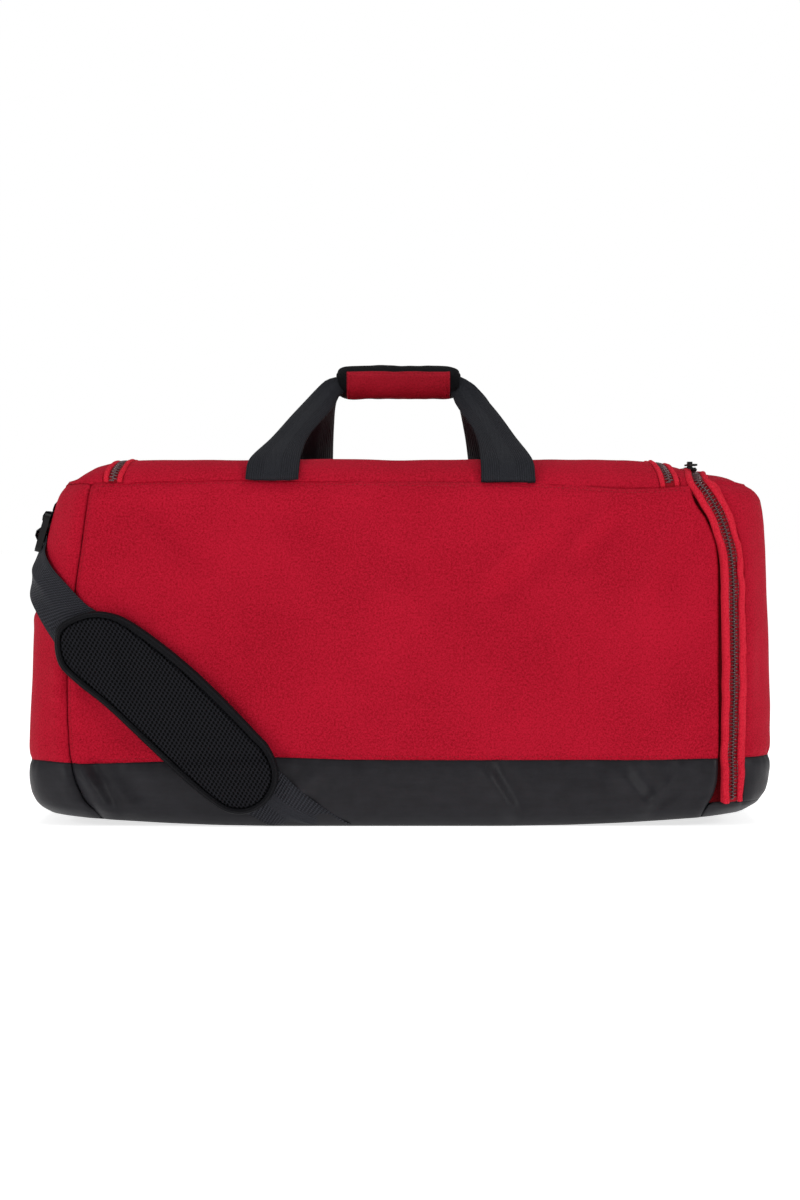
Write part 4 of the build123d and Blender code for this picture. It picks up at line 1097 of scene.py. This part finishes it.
fy = lambda z, x: float(far_y(z - GZ * float(smooth((z - 0.35) / 0.05))))
near_web = joined("near_handle_strap", [leg(lift(outer_l), lift(inner_l), ny, "nl"), leg(lift(outer_r), lift(inner_r), ny, "nr")])
near_web.data.materials.append(M["web"])
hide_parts("near_handle_roots", "near_handle_webbing")
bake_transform(near_web)
outer_fl = [(-.1190, .3180), (-.1185, .3260), (-.1165, .3450), (-.1120, .3660), (-.1010, .3850), (-.0890, .4000), (-.0780, .4110), (-.0690, .4180), (-.0560, .4230), (-.0300, .4240)]
inner_fl = [(-.0690, .3180), (-.0690, .3260), (-.0680, .3450), (-.0668, .3660), (-.0655, .3800), (-.0640, .3920), (-.0620, .4000), (-.0590, .4050), (-.0500, .4080), (-.0300, .4090)]
outer_fr = [(.1220, .3180), (.1215, .3260), (.1185, .3450), (.1090, .3660), (.0980, .3850), (.0880, .4000), (.0780, .4110), (.0700, .4180), (.0560, .4230), (.0300, .4240)]
inner_fr = [(.0725, .3180), (.0725, .3260), (.0705, .3450), (.0670, .3660), (.0635, .3800), (.0600, .3920), (.0570, .4000), (.0540, .4050), (.0460, .4080), (.0300, .4090)]
far_web = joined("far_handle_strap", [leg(lift(outer_fl), lift(inner_fl), fy, "fl"), leg(lift(outer_fr), lift(inner_fr), fy, "fr")])
far_web.data.materials.append(M["web"])
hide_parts("far_handle_roots", "far_handle_webbing")
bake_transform(far_web)

# =====================================================================
# grip wrap: a padded roll round both folded grips
# =====================================================================
GC = (0.0, 0.0, 0.4174 + GZ)


def roll_mesh(name, x0, x1, hy, hz, p, n_u=72, n_v=90, a0=0.0, a1=2 * PI, end_round=0.010, off=0.0, seed=41):
    xs = np.linspace(0, 1, n_v)
    xs = 0.5 - 0.5 * np.cos(PI * xs)
    X = x0 + (x1 - x0) * xs
    closed = a1 - a0 > 6.2
    ang = np.linspace(a0, a1, n_u, endpoint=not closed)
    e = np.minimum(X - x0, x1 - X)
    k = np.sqrt(np.clip(1 - (1 - np.clip(e / end_round, 0, 1)) ** 2, 0, 1))
    rows = []
    for xi, ki in zip(X, k):
        c, s = np.cos(ang), np.sin(ang)
        rr = (np.abs(c) ** p + np.abs(s) ** p) ** (-1 / p)
        shrink = 1 - (1 - ki) * 0.42
        y = (hy * shrink + off) * rr * c
        z = (hz * shrink + off) * rr * s
        rows.append(np.stack([np.full_like(y, xi), GC[1] + y, GC[2] + z], 1))
    P = np.stack(rows)
    d = waves(P * [1, 1, 1], .045, seed) * 0.0006 + waves(P, .018, seed + 1) * 0.00025
    ctr = np.array([0, GC[1], GC[2]])
    rad = P - np.stack([P[..., 0], 0 * P[..., 0] + ctr[1], 0 * P[..., 0] + ctr[2]], -1)
    rad /= np.maximum(np.linalg.norm(rad, axis=-1, keepdims=True), 1e-9)
    P = P + rad * d[..., None]
    UV = np.stack([np.broadcast_to(ang * 0.024, P.shape[:2]), P[..., 0]], -1)
    return P, UV, closed


P, UV, closed = roll_mesh("grip", -0.0605, 0.0585, 0.0290, 0.0162, 2.6, end_round=0.0170)
nv, nu = P.shape[:2]
F = grid_faces(nu, nv, close_u=True)
V = list(P.reshape(-1, 3))
for row, flip in ((0, True), (nv - 1, False)):
    ring = [row * nu + i for i in range(nu)]
    prev = ring
    cx = P[row, 0, 0]
    for sc, dx in ((0.8, 0.0012), (0.5, 0.0008), (0.2, -0.0004)):
        start = len(V)
        for i in range(nu):
            q = P[row, i]
            V.append(np.array([cx + (-dx if row == 0 else dx), GC[1] + (q[1] - GC[1]) * sc, GC[2] + (q[2] - GC[2]) * sc]))
        cur = [start + i for i in range(nu)]
        for i in range(nu):
            q = (prev[i], prev[(i + 1) % nu], cur[(i + 1) % nu], cur[i])
            F.append(q[::-1] if not flip else q)
        prev = cur
    F.append(tuple(prev) if flip else tuple(prev[::-1]))
uvf = np.concatenate([UV.reshape(-1, 2), np.array([(v[1], v[2]) for v in V[nu * nv:]])])
grip = make_mesh("grip_roll", V, F, uvf)
dress(grip, "grip", "near_handle", ["grip_wrap"])
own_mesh(grip)

# red face on the near side, its edges turned in and stitched down; its cloth is the red canvas darkened, painted shade
# for the roll's shaded face
a0, a1 = PI - 0.58, PI + 1.22
P, UV, _c = roll_mesh("face", -0.0514, 0.0492, 0.0290, 0.0162, 2.6, n_u=46, n_v=110, a0=a0, a1=a1, end_round=0.0001, off=0.0012)
uu = np.linspace(0, 1, P.shape[1])[None, :]
vv = np.linspace(0, 1, P.shape[0])[:, None]
vv = 0.5 - 0.5 * np.cos(PI * vv)
ex = np.minimum(vv, 1 - vv) * 0.1006
ea = np.minimum(uu, 1 - uu) * 0.034
edge = np.minimum(ex + 0 * ea, ea + 0 * ex)
puff = 0.0012 * smooth(edge / 0.006) - 0.0007 * np.exp(-(((edge - 0.0035) / 0.0009) ** 2)) - 0.0016 * np.exp(-((edge / 0.0006) ** 2))
rad = P - np.stack([P[..., 0], 0 * P[..., 0] + GC[1], 0 * P[..., 0] + GC[2]], -1)
rad /= np.linalg.norm(rad, axis=-1, keepdims=True)
P = P + rad * puff[..., None]
face = grid_object("grip_face", P, UV, skirt=0.0015, out=1)
# darker red copy: painted shade of the grip face
dress(face, "red_grip_painted_shade", "near_handle", ["grip_wrap_face"])

# =====================================================================
# shoulder strap
# =====================================================================
PAD_C, PAD_A = np.array([-.219, .107]), math.radians(-42.4)
ca, sa = math.cos(PAD_A), math.sin(PAD_A)


def corner_pt(angle, z, off):
    X = float(XL(z))
    a = math.radians(angle)
    r = R + off
    p = np.array([-(X - R) - r * math.sin(a), -(0.156 - R) - r * math.cos(a), z])
    return p


def front_pts(x, z, off):
    """Points at (x, z) lying on the near face and round its left corner."""
    x, z = np.broadcast_arrays(np.asarray(x, float), np.asarray(z, float))
    d = near_disp(x, z)
    cx = -(XL(z) - R)
    dx = np.clip(cx - x, 0, (R + off) * 0.999)
    flat = -0.156 - off - np.maximum(d, -0.001)
    bent = -(0.156 - R) - np.sqrt((R + off) ** 2 - dx * dx) - np.maximum(d, 0) * 0.6
    return np.stack([x, np.where(x >= cx, flat, bent), z], -1)


def front_pt(x, z, off):
    return front_pts(np.array([x]), np.array([z]), off)[0]


def pad_edge(sv, half):
    cx, cz = PAD_C[0] + sv * ca, PAD_C[1] + sv * sa
    return (cx - half * sa, cz + half * ca), (cx + half * sa, cz - half * ca)


OFF = 0.0020
yy = lambda y: (y + DY * 1000) / 1000
rows = [
    [(-.3350, yy(-106), .2740), (-.3372, yy(-81), .2736), (-.3386, yy(-57), .2730)],
    [(-.3345, yy(-113), .2665), (-.3400, yy(-89), .2645), (-.3436, yy(-65), .2625)],
    [corner_pt(62, .2570, .0036), (-.3442, yy(-104), .2520), (-.3474, yy(-80), .2475)],
    [corner_pt(43, .2430, .0042), (-.3470, yy(-117.5), .2380), (-.3492, yy(-93), .2325)],
    [corner_pt(20, .2265, .0034), corner_pt(47, .2220, .0052), (-.3502, yy(-110), .2155)],
    [corner_pt(-2, .2095, .0030), corner_pt(24, .2052, .0044), corner_pt(50, .1985, .0062)],
    [front_pt(-.282, .2015, OFF), corner_pt(10, .1905, .0032), corner_pt(32, .1775, .0044)],
]
for sv in (-.101, -.05, 0.0, .05, .101):
    e1, e2 = pad_edge(sv, .025)
    m = ((e1[0] + e2[0]) / 2, (e1[1] + e2[1]) / 2)
    rows.append([front_pt(*e1, OFF), front_pt(*m, OFF), front_pt(*e2, OFF)])
rows += [
    [front_pt(-.1127, .0528, OFF + .001), front_pt(-.127, .0310, OFF + .001), (-.1385, -.1580, .0105)],
    [front_pt(-.0990, .0400, OFF + .001), (-.1120, -.1590, .0180), (-.1230, -.1515, .0022)],
    [(-.0840, -.1588, .0275), (-.0975, -.1560, .0085), (-.1090, -.1430, .0012)],
    [(-.0680, -.1572, .0160), (-.0820, -.1490, .0026), (-.0970, -.1300, .0010)],
    [(-.0540, -.1530, .0066), (-.0700, -.1360, .0012), (-.0865, -.1180, .0009)],
    [(-.0420, -.1430, .0016), (-.0600, -.1240, .0009), (-.0770, -.1050, .0009)],
]
UX, UY = 0.66, 0.7513
for t in (.060, .120, .180, .240, .300):
    cx, cy = -.066 + UX * t, yy(-117.0) + UY * t
    rows.append([(cx + .025 * UY, cy - .025 * UX, .0009), (cx, cy, .0009), (cx - .025 * UY, cy + .025 * UX, .0009)])
back = [
    ((206.0, 134.0, 0.9), (157.0, 148.0, 0.9)), ((214.0, 149.0, 1.6), (162.0, 158.0, 2.0)),
    ((219.0, 160.5, 5.0), (166.0, 164.6, 12.0)), ((223.0, 165.6, 16.0), (170.0, 166.0, 27.0)),
    ((236.0, 166.4, 90.0), (187.0, 167.4, 98.0)), ((250.0, 166.4, 180.0), (200.5, 167.2, 186.0)),
    ((257.0, 165.6, 240.0), (207.0, 165.8, 240.0)), ((257.5, 164.3, 254.0), (207.5, 164.3, 254.0)), ((257.5, 163.6, 270.4), (207.5, 163.6, 270.4)),
]
for a, b in back:
    a = (a[0] / 1000, yy(a[1]), a[2] / 1000)
    b = (b[0] / 1000, yy(b[1]), b[2] / 1000)
    rows.append([a, tuple((p + q) / 2 for p, q in zip(a, b)), b])
strap, strap_len, strap_wid = band_mesh("shoulder_strap", np.array([[np.array(p, float) for p in r] for r in rows]), 0.0015, "strap", "bag", ["strap_webbing"], crown=0.0, across=11, along=380, uv_width=0.050)


# loops of webbing through the buckles, and the chapes' loops
def place_pts(pts, origin, tilt, turn):
    """Local (out, across, up) of a buckle to the row frame."""
    o = np.array(origin)
    c, s = math.cos(tilt), math.sin(tilt)
    out = []
    for x, y, z in pts:
        X, Z = x * c + z * s, -x * s + z * c
        if turn:
            out.append((o[0] + y, o[1] - X, o[2] + Z))
        else:
            out.append((o[0] + X, o[1] + y, o[2] + Z))
    return np.array(out)


def loop_band(name, z0, z1, half_x, width, origin, tilt, turn, tail=None, node=None, mat="web"):
    pts = []
    zc, hz = (z0 + z1) / 2, (z1 - z0) / 2
    for a in np.linspace(0, 2 * PI, 21):
        r = (abs(math.cos(a)) ** 3 + abs(math.sin(a)) ** 3) ** (-1 / 3)
        pts.append((half_x * r * math.cos(a), 0, zc + hz * r * math.sin(a)))
    A = place_pts([(x, -width / 2, z) for x, y, z in pts], origin, tilt, turn)
    B = place_pts([(x, width / 2, z) for x, y, z in pts], origin, tilt, turn)
    rows = np.stack([A, (A + B) / 2, B], 1)
    if tail is not None:
        rows = np.concatenate([tail, rows])
    return band_mesh(name, rows, 0.0014, mat, "bag", [node] if node else [], across=9, uv_width=width)[0]


BL = (-.3344, yy(-78), .2905)
BR = (.2325, yy(167.8), .2880)
TL_, TR_ = math.radians(16), math.radians(4)
loop_band("strap_loop_left", -.0235, -.0107, .0066, .050, BL, TL_, False)
loop_band("strap_loop_right", -.0211, -.0107, .0056, .050, BR, TR_, True)
tl = [(-.3110, .3240), (-.3165, .3180), (-.3225, .3085), (-.3285, .3010)]
tail_l = np.array([[(x, yy(-102), z), (x, yy(-78), z), (x, yy(-54), z)] for x, z in tl])
loop_band("chape_left", -.0056, .0056, .0046, .048, BL, TL_, False, tail_l, "left_chape")
tr = [(160.6, .3228), (163.4, .3150), (164.9, .3060), (165.5, .2985)]
tail_r = np.array([[(.2325 - .024, yy(y), z), (.2325, yy(y), z), (.2325 + .024, yy(y), z)] for y, z in tr])
loop_band("chape_right", -.0056, .0056, .0046, .048, BR, TR_, True, tail_r, "right_chape")

# =====================================================================
# shoulder pad
# =====================================================================
PX = [(57, 644), (58, 631), (63.5, 624), (72, 618.5), (91, 612), (109, 612), (131, 620), (163, 642), (199, 672), (234, 706), (257.5, 731), (270, 745), (279, 767), (277, 786), (266, 802.5), (249, 811.5), (231, 811), (213, 801), (181, 774), (145, 740), (109, 706), (82.5, 685), (65, 669), (59, 657)]
K = 0.000943
outline_xz = np.array([((x - 399.5) * K, (826 - z) * K) for x, z in PX])
ring = smooth_path(outline_xz, 240, closed=True)
dirv, nrm = np.array([ca, sa]), np.array([-sa, ca])
rel = ring - PAD_C
spine_t = np.clip(rel @ dirv, -.093, .093)
spine = PAD_C + spine_t[:, None] * dirv


def pad_surface(k, h):
    """k from the spine (0) to the outline (1), h height over the strap."""
    q = spine + (ring - spine) * k
    y = front_pts(q[:, 0], q[:, 1], OFF)[:, 1]
    return np.stack([q[:, 0], y - 0.0012 - h, q[:, 1]], 1)


def pad_smooth_y(P):
    return P


ks = np.r_[np.linspace(0, .74, 22), np.linspace(.76, .90, 9)]
layers = []
for k in ks:
    h = 0.0098 - 0.0018 * k**4
    h -= 0.0028 * math.exp(-(((k - .828) / .020) ** 2))
    layers.append(pad_surface(k, h))
Pm = np.stack(layers)
rng_d = waves(Pm, .05, 61) * 0.0006 + waves(Pm, .022, 62) * 0.0003
Pm[..., 1] -= rng_d * np.clip((1 - ks)[:, None] * 6, 0, 1)
UVm = np.stack([Pm[..., 0], Pm[..., 2]], -1)
pad = make_mesh("pad_front", Pm.reshape(-1, 3), [f[::-1] for f in grid_faces(len(ring), len(ks), close_u=True)], UVm.reshape(-1, 2))
layers = [pad_surface(k, h) for k, h in ((.90, .0062), (.90, .0006), (.5, .0004), (0, .0004))]
Pb = np.stack(layers)
padb = make_mesh("pad_back", Pb.reshape(-1, 3), [f[::-1] for f in grid_faces(len(ring), 4, close_u=True)], np.stack([Pb[..., 0], Pb[..., 2]], -1).reshape(-1, 2))
pad = joined("pad_body", [pad, padb])
dress(pad, "mesh", "shoulder_pad", ["pad_cushion"])

sec = [(.836, .0064), (.846, .0090), (.870, .0104), (.925, .0109), (.978, .0097), (1.004, .0070), (1.008, .0045), (1.002, .0022), (.985, .0008), (.955, .0003), (.91, .0003)]
Bp = np.stack([pad_surface(k, h) for k, h in sec])
lens = np.r_[0, np.cumsum(np.linalg.norm(np.diff(ring, axis=0), axis=1))]
puck = waves(np.stack([lens, 0 * lens], -1), .012, 63, 8)
Bp[..., 1] -= 0.00025 * puck[None, :]
Ub = np.stack([np.broadcast_to(np.linspace(0, .014, len(sec))[:, None], Bp.shape[:2]), np.broadcast_to(lens[None, :], Bp.shape[:2])], -1)
bind = make_mesh("pad_bound_edge", Bp.reshape(-1, 3), [f[::-1] for f in grid_faces(len(ring), len(sec), close_u=True)], Ub.reshape(-1, 2))
dress(bind, "bind", "shoulder_pad", ["pad_binding"])

# keeper loops behind the pad
parts = []
for sv in (-.027, .057):
    e1, e2 = pad_edge(sv - .011, .030)
    f1, f2 = pad_edge(sv + .011, .030)
    r1 = [front_pt(*e1, .0006), front_pt((e1[0] + f1[0]) / 2, (e1[1] + f1[1]) / 2, .0006), front_pt(*f1, .0006)]
    r2 = [front_pt(*e2, .0006), front_pt((e2[0] + f2[0]) / 2, (e2[1] + f2[1]) / 2, .0006), front_pt(*f2, .0006)]
    up1 = [p + np.array([0, -.0030, 0]) for p in r1]
    up2 = [p + np.array([0, -.0030, 0]) for p in r2]
    mid = [(a + b) / 2 for a, b in zip(r1, r2)]
    parts.append(band_mesh("k", np.array([up1, r1, mid, r2, up2]), 0.0008, None, None, across=5, along=30, uv_width=.022)[0])
keep = joined("pad_keeper_loops", parts)
dress(keep, "web", "shoulder_pad", ["pad_keepers"])

# =====================================================================
# divider between the compartments
# =====================================================================
yv = np.linspace(-.1480, .1480, 90)[None, :]
z_low = .006 + .016 * smooth((np.abs(yv) - .115) / .030)
zv = z_low + np.linspace(0, 1, 80)[:, None] * (.334 - z_low)
xd = 0.2690 + 0 * yv * zv
xd = xd + 0.004 * waves(np.stack([0 * xd, yv + 0 * zv, zv + 0 * yv], -1), .14, 71) * np.sin(PI * (zv / .335)) * np.cos(PI * yv / .30)
edge_y = 0.148 - np.clip(zv - .300, 0, 1) * 0.62
Pd = np.stack([xd, yv / .148 * edge_y, zv + 0 * yv], -1)
div = grid_object("divider_cloth", Pd, np.stack([yv + 0 * zv, zv + 0 * yv], -1))
sol = div.modifiers.new("thick", "SOLIDIFY")
sol.thickness = 0.0012
dress(div, "lining", "bag", ["end_divider"])

# =====================================================================
# stitch lines: short raised threads laid along a path
# =====================================================================
def stitches(name, path, normal, mat, body, length=0.0026, gap=0.0012, r=0.00028, sink=0.0):
    path, total_len = even(np.asarray(path, float), 0.0006)
    normal = np.asarray(normal, float)
    if normal.ndim == 1:
        normal = np.broadcast_to(normal, path.shape)
    else:
        w = np.linspace(0, len(normal) - 1, len(path))
        normal = np.stack([np.interp(w, np.arange(len(normal)), normal[:, k]) for k in range(3)], 1)
    T, Nn, B = frame_along(path, normal)
    d = np.linspace(0, total_len, len(path))
    starts = np.arange(0, total_len - length, length + gap)
    tt = np.linspace(0, 1, 5)
    q = starts[:, None] + length * tt[None, :]
    idx = np.minimum((q / total_len * (len(path) - 1)).astype(int), len(path) - 1)
    h = np.sin(PI * tt) * r * 1.6 - r * 0.6 - sink
    w = r * (0.55 + 0.45 * np.sin(PI * tt))
    c = path[idx] + Nn[idx] * h[None, :, None]
    ang = np.array([0, PI / 2, PI, 3 * PI / 2])
    V = c[:, :, None] + B[idx][:, :, None] * (w[None, :, None] * np.cos(ang))[..., None] + Nn[idx][:, :, None] * (w[None, :, None] * np.sin(ang))[..., None]
    V = V.reshape(-1, 3)
    uv = np.stack(np.broadcast_arrays(ang[None, None, :] * r, q[:, :, None]), -1).reshape(-1, 2)
    one = [(4 * k + j, 4 * k + (j + 1) % 4, 4 * k + 4 + (j + 1) % 4, 4 * k + 4 + j) for k in range(4) for j in range(4)]
    F = (np.array(one)[None] + (np.arange(len(starts)) * 20)[:, None, None]).reshape(-1, 4)
    ob = make_mesh(name, V, F, np.array(uv))
    dress(ob, mat, body)
    return ob


# top seam of the near face, on the panel side
xs = np.linspace(-.283, .268, 500)
zz_ = SEAM_Z(xs) - 0.0035
s_ = np.where(xs < 0, s_of_x(np.abs(xs), zz_, True), -s_of_x(np.abs(xs), zz_, False))
stitches("stitch_front_top", side_pt(s_, zz_), (0, -1, 0.15), "thread_red", "bag")
# band seam, near
zz_ = BAND_Z(xs) + 0.0035
s_ = np.where(xs < 0, s_of_x(np.abs(xs), zz_, True), -s_of_x(np.abs(xs), zz_, False))
stitches("stitch_band_near", side_pt(s_, zz_), (0, -1, 0), "thread_red", "bag")
# left upright seam, one side of it
zc = np.linspace(.066, .320, 260)
for dx, nm in ((-0.0036, "a"),):
    s_ = s_of_x(SEAM_L(zc), zc, True) + dx
    P_, N_ = outline(s_, zc)
    stitches("stitch_left_" + nm, side_pt(s_, zc), N_, "thread_red", "bag")
# heights beside the end zip, on the front panel; no stitches are laid from them
zc = np.linspace(.030, .318, 260)
# pad: line of stitching inside the binding
pr = pad_surface(.893, .0078)
pr = np.concatenate([pr, pr[:1]])
stitches("stitch_pad", pr, (0, -1, 0), "thread_black", "shoulder_pad", r=0.0003)
# welts beside the teeth of the end zip
T_, N_, B_ = frame_along(END_P, END_N)
for side, body in ((END_INS, "end_door"), (-END_INS, "bag")):
    stitches("stitch_end_" + body, END_P + B_ * side * 0.0047 - N_ * 0.0002, N_, "thread_grey", body, length=0.0021, gap=0.0010, r=0.0003)

# =====================================================================
# hardware carried over from CAD: finish only
# =====================================================================
def finish_node(node, mat, bevel=0.0006):
    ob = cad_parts[node]
    ob.data.materials.clear()
    ob.data.materials.append(M[mat])
    b = ob.modifiers.new("edge", "BEVEL")
    b.width = bevel
    b.segments = 3
    b.limit_method = "ANGLE"
    b.angle_limit = math.radians(40)
    for p in ob.data.polygons:
        p.use_smooth = True
    w = ob.modifiers.new("wn", "WEIGHTED_NORMAL")
    w.keep_sharp = True


for nname in ("lid_slider_left", "lid_slider_right", "end_slider"):
    finish_node(nname, "slider")

# the end slider's moulded cover, a rounded block over its wings
a = np.linspace(0, 2 * PI, 41)[:-1]
rr = (np.abs(np.cos(a)) ** 4.5 + np.abs(np.sin(a)) ** 4.5) ** (-1 / 4.5)
rings = [np.stack([0.2764 + kx * 0.0068 * rr * np.cos(a), -0.09806 + kx * 0.0076 * rr * np.sin(a), 0 * a + 0.33543 + h], 1)
         for kx, h in ((0.01, -.0011), (.86, -.0011), (.97, -.0004), (1.0, .0003), (1.0, .0010), (.96, .0016), (.84, .0020), (0.01, .0021))]
G = np.stack(rings)
cover = make_mesh("end_slider_cover", G.reshape(-1, 3), grid_faces(len(a), len(rings), close_u=True), np.stack([G[..., 0], G[..., 1]], -1).reshape(-1, 2))
dress(cover, "slider", "end_slider_body")
for nname in ("lid_pull_left", "lid_pull_right", "end_pull"):
    finish_node(nname, "pull", 0.0005)
for nname in ("left_buckle", "right_buckle"):
    finish_node(nname, "buckle", 0.0010)

# =====================================================================
# camera, floor, light
# =====================================================================
cam = bpy.data.cameras.new("cam")
cam_ob = bpy.data.objects.new("cam", cam)
bpy.context.scene.collection.objects.link(cam_ob)
DIST, ELEV = 3.40, math.radians(1.2)
TARGET = Vector((0.0005, -0.156, 0.2131))
cam_ob.location = TARGET + Vector((0, -math.cos(ELEV), math.sin(ELEV))) * DIST
cam_ob.rotation_euler = (math.radians(90) - ELEV, 0, 0)
cam.sensor_width = 36.0
cam.lens = 36.0 * DIST / (1200 * 0.000943) * 1.006
cam.clip_start, cam.clip_end = 0.05, 60
bpy.context.scene.camera = cam_ob

floor = make_mesh("floor", [(-30, -30, 0), (30, -30, 0), (30, 30, 0), (-30, 30, 0)], [(0, 1, 2, 3)], np.zeros((4, 2)), False)
fm = Nodes("floor_paper")
g = fm.noise(fm.new("ShaderNodeTexCoord").outputs["Object"], 3.0, 2.0, 0.5)
fm.set(Base_Color=fm.ramp(g, [(0.3, (0.86, 0.86, 0.86)), (0.7, (0.88, 0.88, 0.88))]), Roughness=0.9, Specular_IOR_Level=0.1, Emission_Color=(1.0, 1.0, 1.0, 1.0), Emission_Strength=0.72)
floor.data.materials.append(fm.mat)

world = bpy.data.worlds.new("studio")
bpy.context.scene.world = world
world.use_nodes = True
wt = world.node_tree
wt.nodes["Background"].inputs[0].default_value = (1, 1, 1, 1)
wt.nodes["Background"].inputs[1].default_value = 0.38
white = wt.nodes.new("ShaderNodeBackground")
white.inputs[0].default_value = (1, 1, 1, 1)
white.inputs[1].default_value = 1.0
lp = wt.nodes.new("ShaderNodeLightPath")
mx = wt.nodes.new("ShaderNodeMixShader")
wt.links.new(lp.outputs["Is Camera Ray"], mx.inputs[0])
wt.links.new(wt.nodes["Background"].outputs[0], mx.inputs[1])
wt.links.new(white.outputs[0], mx.inputs[2])
wt.links.new(mx.outputs[0], wt.nodes["World Output"].inputs[0])


def area(name, loc, target, size, power, colour=(1, 1, 1)):
    l = bpy.data.lights.new(name, "AREA")
    l.shape = "RECTANGLE"
    l.size, l.size_y = size
    l.energy = power
    l.color = colour
    o = bpy.data.objects.new(name, l)
    bpy.context.scene.collection.objects.link(o)
    o.location = loc
    o.rotation_euler = (Vector(target) - Vector(loc)).to_track_quat("-Z", "Y").to_euler()
    return o


area("key", (-2.3, -1.8, 0.95), (0, 0, 0.2), (0.8, 0.8), 24)
area("fill", (2.3, -1.8, 1.15), (0, 0, 0.2), (0.8, 0.8), 27)
area("top", (0, -0.1, 2.6), (0, 0, 0.2), (2.2, 1.4), 24)
bpy.context.scene.view_settings.view_transform = "Standard"
bpy.context.scene.view_settings.look = "None"
